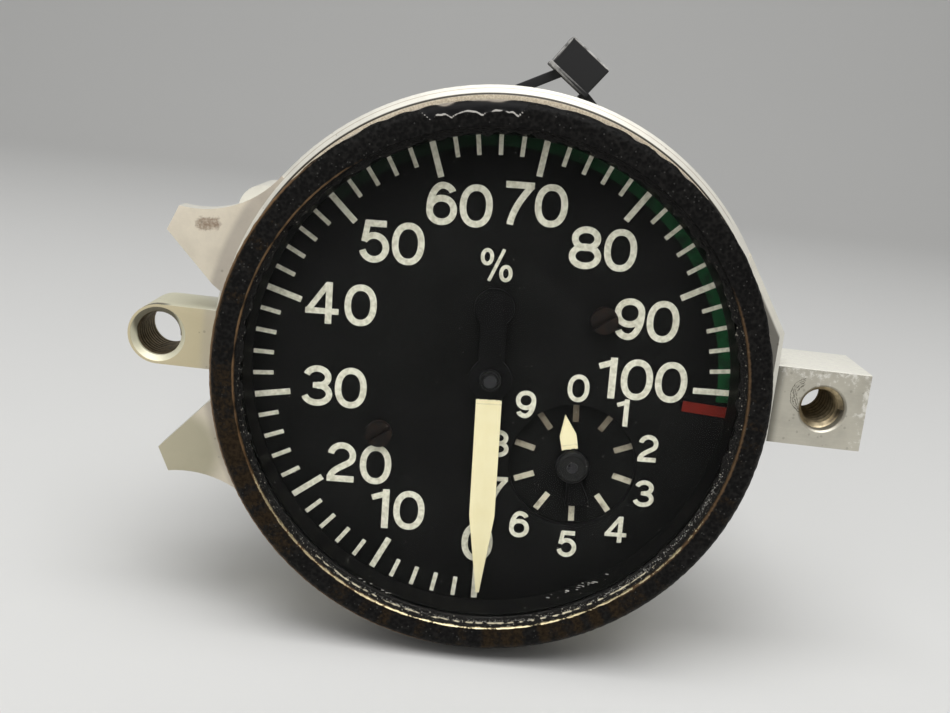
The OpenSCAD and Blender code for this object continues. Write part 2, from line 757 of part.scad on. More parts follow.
// Radii and end directions of the hairspring
spring_in = 1.85;
spring_out = 5.6;
spring_turns = 4.25;
spring_steps = 85;
spring_strip = 0.16;
spring_start_dir = 0;
spring_stud_dir = spring_start_dir + spring_turns * 360;
spring_stud_r = spring_out + spring_strip / 2 + 0.5 + fit_gap;

// Collet that holds the hairspring's inner end
module hairspring_collet() {
    color([0.8, 0.65, 0.3]) inner() ring(spring_in - spring_strip / 2 - run_gap, arbor_r + fit_gap,
        level_spring + 0.4, level_spring - spring_h - 0.4);
}

// Flat spiral hairspring: radius grows evenly with the turn
module hairspring() {
    function edge(k, d) = polar(spring_in + (spring_out - spring_in) * k / spring_steps + d,
        spring_start_dir + spring_turns * 360 * k / spring_steps);
    color([0.5, 0.55, 0.7]) inner() translate([0, 0, level_spring - spring_h]) linear_extrude(spring_h)
        polygon(concat([for (k = [0:spring_steps]) edge(k, -spring_strip / 2)],
            [for (k = [spring_steps:-1:0]) edge(k, spring_strip / 2)]));
}

// Stud on the gear bridge that holds the hairspring's outer end
module hairspring_stud() {
    color([0.7, 0.7, 0.72]) inner() at(spring_stud_r, spring_stud_dir)
        rod(0.5, bridge_back, level_spring + 0.3);
}

// Idler arbor
module idler_arbor() {
    color([0.7, 0.7, 0.72]) inner() translate([idler_at[0], idler_at[1], 0])
        rod(thin_arbor_r, bridge_back, plate_top);
}

// Idler pinion, in mesh with the main wheel
module idler_pinion() {
    color([0.7, 0.7, 0.72]) inner() translate([idler_at[0], idler_at[1], 0])
        gear(idler_pinion_teeth, module_a, 1, idler_dir + 180 + 180 / idler_pinion_teeth,
            level_a + 0.2, wheel_t + 0.4, thin_arbor_r + fit_gap);
}

// Idler wheel, in mesh with the unit pinion
module idler_wheel() {
    to_sub = atan2(sub_at[0] - idler_at[0], sub_at[1] - idler_at[1]);
    color([0.8, 0.65, 0.3]) inner() translate([idler_at[0], idler_at[1], 0]) {
        gear(idler_wheel_teeth, module_b, 0.9, to_sub, level_b, wheel_t, thin_arbor_r + fit_gap);
        ring(1.2, thin_arbor_r + fit_gap, level_b - wheel_t + 0.1, level_b - wheel_t - 0.6);
    }
}

// Arbor of the unit pointer
module sub_arbor() {
    color([0.7, 0.7, 0.72]) inner() translate([sub_at[0], sub_at[1], 0])
        rod(thin_arbor_r, bridge_back, dial_z + 0.7);
}

// Pinion of the unit pointer
module sub_pinion() {
    to_idler = atan2(idler_at[0] - sub_at[0], idler_at[1] - sub_at[1]);
    color([0.7, 0.7, 0.72]) inner() translate([sub_at[0], sub_at[1], 0])
        gear(sub_pinion_teeth, module_b, 1, to_idler + 180 / sub_pinion_teeth, level_b + 0.2,
            wheel_t + 0.4, thin_arbor_r + fit_gap);
}

// Unit pointer: short diamond blade and fan tail
module sub_pointer() {
    z0 = dial_z - 0.3;
    color([0.9, 0.85, 0.65]) inner() translate([sub_at[0], sub_at[1], 0]) rotate([0, 0, -sub_pointer_rest])
        difference() {
            union() {
                translate([0, 0, z0]) linear_extrude(pointer_t)
                    polygon([[-0.72, 0], [-0.8, 3], [0, sub_pointer_len], [0.8, 3], [0.72, 0], [0.7, -1.8],
                        polar(3.9, 163), polar(4, 172), polar(4, 180), polar(4, 188), polar(3.9, 197),
                        [-0.7, -1.8]]);
                rod(1.4, z0, z0 + pointer_t);
            }
            rod(thin_arbor_r + fit_gap, z0 - 1, z0 + 1);
        }
}

// Round cap hub of the unit pointer
module sub_hub() {
    color([0.06, 0.06, 0.06]) inner() translate([sub_at[0], sub_at[1], 0])
        ring(1.55, thin_arbor_r + fit_gap, dial_z - 0.3 + pointer_t, dial_z + 0.75);
}

// Thin metal cup that the turning magnet drags
module drag_cup() {
    color([0.8, 0.8, 0.82]) inner() {
        difference() {
            rod(cup_r, cup_bottom, cup_top);
            rod(cup_r - cup_t, cup_bottom - 1, cup_top - cup_plate);
            rod(arbor_r + fit_gap, cup_top - 2, cup_top + 1);
        }
    }
}

// Magnet turned by the motor inside the drag cup
module drag_magnet() {
    color([0.3, 0.3, 0.32]) inner() ring(magnet_r, shaft_r + fit_gap, magnet_bottom, magnet_top);
}

// Steel cup round the drag cup that turns with the magnet and closes its field
module flux_cup() {
    color([0.5, 0.5, 0.52]) inner() difference() {
        rod(flux_r, flux_back, cup_top - 2);
        rod(flux_ir, flux_floor, cup_top);
        rod(shaft_r + fit_gap, flux_back - 1, flux_floor + 1);
    }
}

// Motor shaft
module motor_shaft() {
    color([0.7, 0.7, 0.72]) inner() rod(shaft_r, motor_back, magnet_top);
}

// Motor rotor
module motor_rotor() {
    color([0.35, 0.35, 0.37]) inner()
        ring(rotor_r, shaft_r + fit_gap, stator_bottom - 1, stator_top + 1);
}

// Front plate of the motor
module motor_front_plate() {
    color([0.6, 0.6, 0.62]) inner() difference() {
        rod(movement_r, motor_top - motor_plate_t, motor_top);
        rod(bush_r + fit_gap, motor_top - motor_plate_t - 1, motor_top + 1);
        for (a = pillar_dirs) at(bolt_dist, a)
            rod(bolt_r + fit_gap, motor_top - motor_plate_t - 1, motor_top + 1);
    }
}

// Two bronze bushes for the motor shaft
module motor_bushes() {
    color([0.6, 0.42, 0.2]) inner() {
        ring(bush_r, shaft_r + run_gap, motor_top - motor_plate_t, motor_top);
        ring(bush_r, shaft_r + run_gap, motor_back, motor_back_top);
    }
}

// Slotted stator core with six teeth
module stator_core() {
    color([0.45, 0.45, 0.47]) inner() {
        translate([0, 0, stator_bottom]) linear_extrude(stator_len) difference() {
            circle(r = stator_r);
            circle(r = stator_ir);
            difference() {
                circle(r = stator_slot_out);
                circle(r = stator_slot_in);
                for (k = [0:5]) rotate(60 * k)
                    translate([-tooth_w / 2, 0]) square([tooth_w, stator_slot_out + 1]);
            }
            for (k = [0:5]) rotate(60 * k + 30) translate([-0.8, stator_ir - 1]) square([1.6, 4]);
            for (a = pillar_dirs) translate(polar(bolt_dist, a)) circle(r = bolt_r + 0.15);
        }
    }
}

// Six coils, one round each stator tooth
module stator_coils() {
    color([0.65, 0.32, 0.12]) inner() for (k = [0:5]) rotate([0, 0, 60 * k]) difference() {
        translate([-coil_half, coil_in, stator_bottom - coil_over])
            cube([2 * coil_half, coil_out - coil_in, stator_len + 2 * coil_over]);
        translate([-tooth_w / 2 - coil_gap, coil_in - 1, stator_bottom - coil_gap])
            cube([tooth_w + 2 * coil_gap, coil_out - coil_in + 2, stator_len + 2 * coil_gap]);
    }
}

// Rear plate of the motor with holes for the leads
module motor_rear_plate() {
    color([0.6, 0.6, 0.62]) inner() difference() {
        rod(movement_r, motor_back, motor_back_top);
        rod(bush_r + fit_gap, motor_back - 1, motor_back_top + 1);
        for (a = pillar_dirs) at(bolt_dist, a) rod(bolt_r + fit_gap, motor_back - 1, motor_back_top + 1);
        for (a = [0, 120, 240]) at(wire_dist, a) rod(wire_r + 0.4, motor_back - 1, motor_back_top + 1);
    }
}

// Three long bolts through the motor into the rear pillars, each with two spacer tubes
module motor_bolts() {
    color([0.65, 0.65, 0.67]) inner() for (a = pillar_dirs) at(bolt_dist, a) {
        rod(bolt_r, motor_back - 0.1, motor_top + bolt_bite);
        rod(1.8, motor_back - 1.4, motor_back);
        rod(1.6, stator_top, motor_top - motor_plate_t);
        rod(1.6, motor_back_top, stator_bottom);
    }
}

// Three tapped standoffs between the motor and the case back
module rear_standoffs() {
    color([0.75, 0.62, 0.35]) front() for (a = standoff_dirs) at(standoff_dist, a) difference() {
        rod(standoff_r, case_floor, motor_back);
        rod(standoff_screw_r + fit_gap, case_floor - 1, case_floor + standoff_bite + screw_room);
    }
}

// Three leads from the connector pins to the coils
module lead_wires() {
    color([0.7, 0.1, 0.1]) front() for (k = [0:2]) {
        p = polar(pin_pcr, 120 * k);
        q = polar(wire_dist, 120 * k - dial_turn);
        d = q - p;
        run = norm([d[0], d[1], wire_bend - pin_bend]);
        translate([p[0], p[1], 0]) {
            rod(wire_r, pin_rear, pin_bend);
            translate([0, 0, pin_bend]) {
                sphere(r = wire_r + 0.04);
                rotate([0, acos((wire_bend - pin_bend) / run), atan2(d[1], d[0])])
                    cylinder(r = wire_r, h = run);
            }
        }
        translate([q[0], q[1], 0]) {
            translate([0, 0, wire_bend]) sphere(r = wire_r + 0.04);
            rod(wire_r, wire_bend, stator_bottom - coil_over);
        }
    }
}

bezel();
cover_glass();
glass_gasket();
dial_spacer();
dial_plate();
sub_dial();
dial_screws();
mounting_flange();
lug_block();
lug_block_screws();
thread_insert();
case_body();
case_screws();
connector_gasket();
connector_shell();
connector_insert();
connector_pins();
connector_screws();
cable_tie();
front_plate();
dial_posts();
front_pillars();
front_plate_screws();
gear_bridge();
rear_pillars();
jewels();
main_arbor();
main_pointer();
pointer_hub();
main_wheel();
hairspring_collet();
hairspring();
hairspring_stud();
idler_arbor();
idler_pinion();
idler_wheel();
sub_arbor();
sub_pinion();
sub_pointer();
sub_hub();
drag_cup();
drag_magnet();
flux_cup();
motor_shaft();
motor_rotor();
motor_front_plate();
motor_bushes();
stator_core();
stator_coils();
motor_rear_plate();
motor_bolts();
rear_standoffs();
lead_wires();
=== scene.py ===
"""Aircraft tachometer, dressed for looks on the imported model.

The file is laid out as an add-on and is run as a script. Shapes are drawn in millimetres with x to the right,
y up and z towards the viewer; to_row turns them into the row frame in metres. Turns are in degrees clockwise
from the top.
"""

import json
import math

import bmesh
import bpy
import numpy as np
from bpy.props import FloatProperty, FloatVectorProperty, IntProperty, PointerProperty
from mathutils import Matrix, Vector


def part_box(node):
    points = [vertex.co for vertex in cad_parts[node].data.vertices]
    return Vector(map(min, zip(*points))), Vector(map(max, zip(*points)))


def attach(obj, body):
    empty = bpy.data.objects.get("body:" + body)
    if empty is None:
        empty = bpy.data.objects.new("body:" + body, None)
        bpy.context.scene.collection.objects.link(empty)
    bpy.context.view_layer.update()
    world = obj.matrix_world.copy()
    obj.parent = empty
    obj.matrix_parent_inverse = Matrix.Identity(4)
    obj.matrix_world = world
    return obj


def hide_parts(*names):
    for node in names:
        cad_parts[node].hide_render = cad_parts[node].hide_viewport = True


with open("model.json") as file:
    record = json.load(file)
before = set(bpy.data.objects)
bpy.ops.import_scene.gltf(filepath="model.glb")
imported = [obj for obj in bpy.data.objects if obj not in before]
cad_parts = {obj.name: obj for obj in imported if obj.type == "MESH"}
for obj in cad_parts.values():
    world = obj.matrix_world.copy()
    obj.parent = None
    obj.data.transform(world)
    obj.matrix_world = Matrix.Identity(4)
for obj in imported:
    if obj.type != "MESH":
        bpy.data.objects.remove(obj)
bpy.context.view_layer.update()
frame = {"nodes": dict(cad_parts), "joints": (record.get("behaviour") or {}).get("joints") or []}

bl_info = {
    "name": "Aircraft Tachometer",
    "version": (1, 0, 0),
    "blender": (4, 5, 0),
    "location": "View3D > Sidebar > Tachometer",
    "description": "Builds the visible pieces of a small panel tachometer on its packed model",
    "category": "Object",
}

MM = 0.001


def span(node):
    """Lowest and highest corner of a CAD node in drawing millimetres (right, up, towards the viewer)."""
    low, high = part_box(node)
    return np.array([low.x, low.z, -high.y]) / MM, np.array([high.x, high.z, -low.y]) / MM


def depth_of(node):
    """Back and front of a CAD node in drawing millimetres."""
    low, high = span(node)
    return low[2], high[2]


def joint_spot(name):
    """Where a joint's axis stands in the drawing, in millimetres (right, up)."""
    place = {joint["name"]: joint["pos_m"] for joint in frame["joints"]}[name]
    return np.array([place[0], place[2]]) / MM


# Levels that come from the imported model
BEZEL_BACK, BEZEL_FRONT = depth_of("bezel")
BEZEL_R = span("bezel")[1][0]
GLASS_FRONT = depth_of("cover_glass")[1]
DIAL_FACE = depth_of("dial_plate")[1]
UNIT_FACE = depth_of("sub_dial")[1]
UNIT_AT = joint_spot("unit_pointer_turn")
CASE_R = span("case_body")[1][0]
CASE_BACK, CASE_FRONT = depth_of("case_body")
HOLE_X = 0.5 * (span("thread_insert")[0][0] + span("thread_insert")[1][0])

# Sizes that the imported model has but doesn't name
LUG_BACK = -6.8
DIAL_TURN = 2.2
LIP_R = 22.97
LIP_BACK = 6.2
WINDOW_R = 5.44
POINTER_SEAT = 3.25
POINTER_TURN = 180 - 0.9 - DIAL_TURN
UNIT_POINTER_TURN = -12 - DIAL_TURN
PAD_SLANT = (0.8526, 0.0, 0.5225)

# Middle of the big chip in the bezel's paint, and where the points of its edge stand
CHIP_TURN = -9.5
CHIP_POINTS = [-180, -18.7, -14.2, -8.0, -0.7, 180]
CHIP_COUNTS = [-31, 0, 1, 2, 3, 37]


# Numbers: geometry as whole arrays


def to_row(points):
    """Drawing millimetres to row metres: right stays, towards the viewer becomes -Y, up becomes Z."""
    p = np.asarray(points, float)
    return np.stack([p[..., 0], -p[..., 2], p[..., 1]], -1) * MM


def unit(vectors):
    """The same directions, each one long."""
    return vectors / np.linalg.norm(vectors, axis=-1, keepdims=True)


def polar(radius, turn):
    """Points at a radius and a turn."""
    a = np.radians(turn)
    return np.stack([radius * np.sin(a), radius * np.cos(a)], -1)


def turned(points, degrees):
    """Drawing points turned about the dial's centre, anticlockwise."""
    p = np.array(points, float)
    c, s = math.cos(math.radians(degrees)), math.sin(math.radians(degrees))
    x, y = p[..., 0].copy(), p[..., 1].copy()
    p[..., 0] = c * x - s * y
    p[..., 1] = s * x + c * y
    return p


def ripple(turn, seed, waves, slowest, fastest, along=0.0, slope=3.0):
    """Uneven values from about -1 to 1: a sum of sine waves from a fixed seed. Their counts per turn lie
    between slowest and fastest, and their rates along the other way lie within slope."""
    rng = np.random.default_rng(seed)
    rate = rng.integers(slowest, fastest + 1, waves)
    lean = rng.uniform(-slope, slope, waves)
    phase = rng.uniform(0, 2 * np.pi, waves)
    total = np.sin(turn[..., None] * rate + np.asarray(along)[..., None] * lean + phase).sum(-1)
    return total / math.sqrt(waves)


def near_turn(turn, middle, half, soft):
    """1 within half degrees of a turn, falling smoothly to 0 over soft degrees more."""
    away = np.abs((turn - middle + 180) % 360 - 180)
    t = np.clip((half + soft - away) / soft, 0, 1)
    return t**2 * (3 - 2 * t)


def bump_at(value, middle, width):
    """A bell curve of the value about its middle."""
    return np.exp(-(((value - middle) / width) ** 2))


def grid_faces(rows, columns, close_rows, close_columns):
    """Quads of a grid of points; a closed direction joins its last line to its first."""
    i, j = np.meshgrid(
        np.arange(rows if close_rows else rows - 1),
        np.arange(columns if close_columns else columns - 1),
        indexing="ij",
    )
    k, m = (i + 1) % rows, (j + 1) % columns
    quads = np.stack([i * columns + j, k * columns + j, k * columns + m, i * columns + m], -1)
    return quads.reshape(-1, 4)


def soft_outline(corners, rounding, steps=6):
    """A closed outline with each corner replaced by a parabola that touches both sides at the rounding
    distance."""
    c = np.asarray(corners, float)
    r = np.broadcast_to(np.asarray(rounding, float), (len(c),))
    back = np.roll(c, 1, 0) - c
    ahead = np.roll(c, -1, 0) - c
    back_len = np.linalg.norm(back, axis=1)
    ahead_len = np.linalg.norm(ahead, axis=1)
    reach = np.minimum(r, 0.48 * np.minimum(back_len, ahead_len))
    start = c + back * (reach / back_len)[:, None]
    stop = c + ahead * (reach / ahead_len)[:, None]
    t = np.linspace(0, 1, steps)[None, :, None]
    bend = (1 - t) ** 2 * start[:, None] + 2 * t * (1 - t) * c[:, None] + t**2 * stop[:, None]
    return bend.reshape(-1, 2)


def spread(outline, step):
    """Points evenly spaced along a closed outline, found by reading it at equal distances."""
    ring = np.vstack([outline, outline[:1]])
    run = np.concatenate([[0], np.cumsum(np.linalg.norm(np.diff(ring, axis=0), axis=1))])
    at = np.linspace(0, run[-1], max(8, int(round(run[-1] / step))), endpoint=False)
    return np.stack([np.interp(at, run, ring[:, 0]), np.interp(at, run, ring[:, 1])], -1)


def revolve(outline, count, centre=(0.0, 0.0)):
    """Turns an outline of (radius, height) about an axis: each row is the outline at one turn."""
    turn = np.linspace(0, 2 * np.pi, count, endpoint=False)[:, None]
    r, h = outline[None, :, 0], outline[None, :, 1]
    points = np.stack([centre[0] + r * np.sin(turn), centre[1] + r * np.cos(turn), h + 0 * turn], -1)
    return points.reshape(-1, 3), grid_faces(count, len(outline), True, True)


def turned_inwards(ahead, towards):
    """The directions at right angles to an outline, on the side of the way given."""
    side = np.stack([-ahead[:, 1], ahead[:, 0]], -1)
    return -side if np.sum(side * towards) < 0 else side


def slab(outline, low, high, edge, steps=4):
    """A plate with rounded edges: the outline is drawn in along its own normals by a quarter circle at each
    face, and each face closes on the outline's middle."""
    middle = outline.mean(0)
    ahead = unit(np.roll(outline, -1, 0) - np.roll(outline, 1, 0))
    inwards = turned_inwards(ahead, middle - outline)
    a = np.linspace(0, np.pi / 2, steps)
    past = [edge * 1.3]
    inset = np.concatenate([past, edge * (1 - np.sin(a)), edge * (1 - np.cos(a)), past])
    height = np.concatenate([[low], low + edge * (1 - np.cos(a)), high - edge * (1 - np.sin(a)), [high]])
    rings = outline[None] + inwards[None] * inset[:, None, None]
    lid = np.broadcast_to(middle, (1,) + outline.shape)
    rings = np.concatenate([lid, rings, lid])
    height = np.concatenate([[low], height, [high]])
    points = np.concatenate([rings, np.broadcast_to(height[:, None, None], rings.shape[:2] + (1,))], -1)
    return points.reshape(-1, 3), grid_faces(len(rings), len(outline), False, True)


def carry(path, side, lift, profile, close_path=False):
    """A profile carried along a path: each profile point lies so far along side and along lift from it.
    An open path's ends close on the middle of the profile."""
    body = path[:, None] + profile[None, :, :1] * side[:, None] + profile[None, :, 1:] * lift[:, None]
    if not close_path:
        shape = (1,) + body.shape[1:]
        first = np.broadcast_to(body[:1].mean(1, keepdims=True), shape)
        last = np.broadcast_to(body[-1:].mean(1, keepdims=True), shape)
        body = np.concatenate([first, body, last])
    return body.reshape(-1, 3), grid_faces(len(body), len(profile), close_path, True)


def carry_flat(line, height, profile, side, close_path=False):
    """A profile carried along a line that lies at one height: aside along side, up towards the viewer."""
    side = np.concatenate([side, np.zeros((len(line), 1))], -1)
    lift = np.broadcast_to([0.0, 0.0, 1.0], side.shape)
    path = np.concatenate([line, np.full((len(line), 1), height)], -1)
    return carry(path, side, lift, profile, close_path)


def helix(centre, radius, start, stop, pitch, profile, per_turn=48):
    """A profile of (outwards, along) carried round an axis towards the viewer as a screw thread."""
    turns = abs(stop - start) / pitch
    t = np.linspace(0, 1, int(turns * per_turn) + 1)
    a = 2 * np.pi * turns * t
    out = np.stack([np.cos(a), np.sin(a), 0 * a], -1)
    rise = np.stack([0 * a, 0 * a, start + (stop - start) * t], -1)
    path = np.array([centre[0], centre[1], 0.0]) + radius * out + rise
    return carry(path, out, np.broadcast_to([0.0, 0.0, 1.0], out.shape), np.array(profile))


def boxes(corners):
    """Boxes from eight corners each: four round the bottom, then the four over them."""
    one = np.array([[3, 2, 1, 0], [4, 5, 6, 7], [0, 1, 5, 4], [1, 2, 6, 5], [2, 3, 7, 6], [3, 0, 4, 7]])
    faces = one[None] + 8 * np.arange(len(corners))[:, None, None]
    return corners.reshape(-1, 3), faces.reshape(-1, 4)


def bars(inner, outer, turn, width, low, high, centre):
    """Straight radial marks: boxes from the inner to the outer radius at each turn, as wide as given."""
    n = len(turn)
    a = np.radians(turn)
    out = np.stack([np.sin(a), np.cos(a)], -1)
    side = np.stack([np.cos(a), -np.sin(a)], -1)
    inner, outer, half = (np.broadcast_to(v, (n,))[:, None] for v in (inner, outer, 0.5 * width))
    flat = np.stack([centre + out * inner - side * half, centre + out * inner + side * half,
                     centre + out * outer + side * half, centre + out * outer - side * half], 1)
    bottom = np.concatenate([flat, np.full((n, 4, 1), low)], -1)
    top = np.concatenate([flat, np.full((n, 4, 1), high)], -1)
    return boxes(np.concatenate([bottom, top], 1))


def arc_band(inner, outer, start, stop, low, high, centre, count=160):
    """A flat band along an arc: a four-cornered profile carried round the centre."""
    out = polar(1.0, np.linspace(start, stop, count))
    wide, tall = outer - inner, high - low
    profile = np.array([[0, 0], [wide, 0], [wide, tall], [0, tall]])
    return carry_flat(out * inner + centre, low, profile, out)


def crumbs(places, sizes, seed):
    """Small uneven grains: an eight-cornered blob at each place, its corners pushed about by a fixed seed."""
    rng = np.random.default_rng(seed)
    corner = np.array([[x, y, z] for z in (-1, 1) for x, y in ((-1, -1), (1, -1), (1, 1), (-1, 1))], float)
    shape = corner[None] * rng.uniform(0.35, 1.0, (len(places), 8, 3)) * sizes[:, None, :] * 0.5
    return boxes(places[:, None] + shape)


def gather(parts):
    """Joins several (points, faces) parts into one."""
    counts = np.cumsum([0] + [len(p) for p, f in parts[:-1]])
    points = np.concatenate([p for p, f in parts])
    faces = np.concatenate([f + c for (p, f), c in zip(parts, counts)])
    return points, faces


# Numerals: each digit is a few centre lines in a box one unit tall, swept to a constant stroke

SIGN_GAP = 0.055
SIGN_GAPS = {"1": 0.12, "7": -0.04}


def curve(cx, cy, rx, ry, start, stop, count=22):
    """Part of an ellipse, angles in degrees anticlockwise from the right."""
    a = np.radians(np.linspace(start, stop, count))
    return np.stack([cx + rx * np.cos(a), cy + ry * np.sin(a)], -1)


def oval(cx, cy, rx, ry, power=2.05, count=56):
    """A closed rounded loop: |x/rx| and |y/ry| raised to a power add up to one."""
    a = np.linspace(0, 2 * np.pi, count, endpoint=False)
    c, s = np.cos(a), np.sin(a)
    bend = 2 / power
    return np.stack([cx + rx * np.sign(c) * np.abs(c) ** bend, cy + ry * np.sign(s) * np.abs(s) ** bend], -1)


def swing(p0, p1, p2, p3, count=20):
    """A cubic curve from p0 to p3 that leaves towards p1 and comes in from p2."""
    t = np.linspace(0, 1, count)[:, None]
    p0, p1, p2, p3 = (np.array(p, float) for p in (p0, p1, p2, p3))
    return (1 - t) ** 3 * p0 + 3 * t * (1 - t) ** 2 * p1 + 3 * t**2 * (1 - t) * p2 + t**3 * p3


def straight(x0, y0, x1, y1):
    """A straight centre line."""
    return np.linspace(np.array([x0, y0], float), np.array([x1, y1], float), 3)


def strokes():
    """Centre lines of the signs as (line, closed, stroke factor)."""
    six_spine = [curve(0, -0.1, 0.28, 0.5225, 180, 92), curve(0.0, 0.21, 0.25, 0.2125, 88, 20)]
    six = [(oval(0, -0.15, 0.28, 0.2725, 2.1), True, 1), (np.concatenate(six_spine), False, 1)]
    two_sweep = swing((0.245, 0.063), (0.18, -0.07), (-0.25, -0.16), (-0.27, -0.4225))[1:]
    two = np.concatenate([curve(0, 0.17, 0.27, 0.2525, 172, -25), two_sweep])
    seven_leg = swing((0.29, 0.43), (0.1, 0.18), (-0.12, -0.12), (-0.17, -0.5))
    return {
        "0": [(oval(0, 0, 0.305, 0.4225, 2.2), True, 1)],
        "1": [(straight(0.1, -0.5, 0.1, 0.5), False, 1.08), (straight(0.1, 0.39, -0.24, 0.27), False, 0.92)],
        "2": [(two, False, 1), (straight(-0.345, -0.4225, 0.315, -0.4225), False, 1)],
        "3": [(curve(0, 0.212, 0.262, 0.2105, 165, -90), False, 1),
              (curve(0, -0.2, 0.3, 0.2225, 90, -165), False, 1),
              (straight(-0.1, 0.012, 0.02, 0.012), False, 0.9)],
        "4": [(straight(0.15, -0.5, 0.15, 0.5), False, 1), (straight(-0.4, -0.2, 0.39, -0.2), False, 0.9),
              (straight(0.12, 0.45, -0.33, -0.19), False, 0.85)],
        "5": [(straight(-0.215, 0.4225, 0.27, 0.4225), False, 1),
              (straight(-0.16, 0.48, -0.235, -0.01), False, 0.9),
              (curve(0.0, -0.14, 0.28, 0.2825, 148, -165), False, 1)],
        "6": six,
        "7": [(straight(-0.32, 0.4225, 0.34, 0.4225), False, 1), (seven_leg, False, 1)],
        "8": [(oval(0, 0.212, 0.262, 0.2105), True, 1), (oval(0, -0.2, 0.3, 0.2225), True, 1)],
        "9": [(-line, closed, factor) for line, closed, factor in six],
        "%": [(oval(-0.29, 0.23, 0.14, 0.2), True, 0.75), (oval(0.29, -0.23, 0.14, 0.2), True, 0.75),
              (straight(-0.2, -0.48, 0.2, 0.48), False, 0.65)],
    }


def sign_part(line, closed, width, low, high):
    """One stroke of a sign: a flat bar carried along its centre line, square at its ends."""
    ahead = unit(np.roll(line, -1, 0) - np.roll(line, 1, 0) if closed else np.gradient(line, axis=0))
    side = np.stack([-ahead[:, 1], ahead[:, 0]], -1)
    tall, half = high - low, width / 2
    return carry_flat(line, low, np.array([[-half, 0], [half, 0], [half, tall], [-half, tall]]), side, closed)


def number_parts(text, middle, height, stroke, low, high):
    """Strokes of a number set upright about its middle; strokes that cross differ a little in height."""
    signs = strokes()
    ends = {}
    for sign in set(text):
        x = np.concatenate([line[:, 0] for line, closed, factor in signs[sign]])
        ends[sign] = (x.min() - stroke / 2, x.max() + stroke / 2)
    wide = sum(ends[s][1] - ends[s][0] for s in text) + sum(SIGN_GAPS.get(s, SIGN_GAP) for s in text[:-1])
    parts = []
    left = -wide / 2
    for sign in text:
        shift = left - ends[sign][0]
        for k, (line, closed, factor) in enumerate(signs[sign]):
            placed = (line + [shift, 0]) * height + middle
            parts.append(sign_part(placed, closed, stroke * factor * height, low, high + 0.005 * k))
        left += ends[sign][1] - ends[sign][0] + SIGN_GAPS.get(sign, SIGN_GAP)
    return parts


# Pieces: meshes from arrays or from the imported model, riding on their bodies


def link_piece(mesh, body, finishes, replaces=()):
    """Makes the object of a finished mesh, gives it its finishes and ties it to its body."""
    piece = bpy.data.objects.new(mesh.name, mesh)
    bpy.context.scene.collection.objects.link(piece)
    for finish in finishes:
        mesh.materials.append(FINISHES[finish])
    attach(piece, body)
    if replaces:
        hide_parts(*replaces)


def smooth_mesh(mesh, angle):
    """Smooth shading, with edges sharper than the angle kept crisp."""
    mesh.shade_smooth()
    mesh.set_sharp_from_angle(angle=math.radians(angle))


def new_mesh(name, shape, angle, marks=None):
    """A mesh from drawing points and quads, its doubles merged and its faces turned outwards.
    marks are named values, one for each point."""
    points, faces = shape
    mesh = bpy.data.meshes.new(name)
    row = to_row(points).astype(np.float32)
    mesh.vertices.add(len(row))
    mesh.vertices.foreach_set("co", row.ravel())
    mesh.loops.add(faces.size)
    mesh.loops.foreach_set("vertex_index", faces.astype(np.int32).ravel())
    mesh.polygons.add(len(faces))
    mesh.polygons.foreach_set("loop_start", np.arange(0, faces.size, 4, dtype=np.int32))
    mesh.update(calc_edges=True)
    for label, values in (marks or {}).items():
        mark = mesh.attributes.new(label, "FLOAT", "POINT")
        mark.data.foreach_set("value", np.asarray(values, np.float32).ravel())
    work = bmesh.new()
    work.from_mesh(mesh)
    bmesh.ops.remove_doubles(work, verts=work.verts, dist=1e-7)
    bmesh.ops.recalc_face_normals(work, faces=work.faces)
    work.to_mesh(mesh)
    work.free()
    mesh.validate()
    smooth_mesh(mesh, angle)
    return mesh


def softened_copy(node, name, width, angle, segments=3, edge_slot=0):
    """A copy of a CAD node's mesh, merged and freed of needless edges, with its sharp edges rounded.
    The rounded faces take the material slot given."""
    work = bmesh.new()
    work.from_mesh(frame["nodes"][node].data)
    bmesh.ops.remove_doubles(work, verts=work.verts, dist=2e-7)
    bmesh.ops.dissolve_limit(work, angle_limit=math.radians(0.6), verts=work.verts, edges=work.edges)
    sharp = [e for e in work.edges if len(e.link_faces) == 2 and e.calc_face_angle(0) > math.radians(angle)]
    bmesh.ops.bevel(work, geom=sharp, offset=width * MM, offset_type="OFFSET", segments=segments, profile=0.6,
                    affect="EDGES", clamp_overlap=True, material=edge_slot)
    mesh = bpy.data.meshes.new(name)
    work.to_mesh(mesh)
    work.free()
    mesh.materials.clear()
    smooth_mesh(mesh, 32)
    return mesh


# Finishes: shader values that add and multiply as numbers do


def put(tree, kind, inputs=None, **settings):
    """Adds a node, applies its settings, then sets or links its inputs by name or number."""
    node = tree.nodes.new(kind)
    for key, value in settings.items():
        setattr(node, key, value)
    for key, value in (inputs or {}).items():
        if isinstance(value, Value):
            tree.links.new(value.socket, node.inputs[key])
        else:
            node.inputs[key].default_value = value
    return node


def rgb(colour):
    """A colour with full alpha; a linked colour stays as it is."""
    return colour if isinstance(colour, Value) else (*(float(c) for c in colour), 1.0)


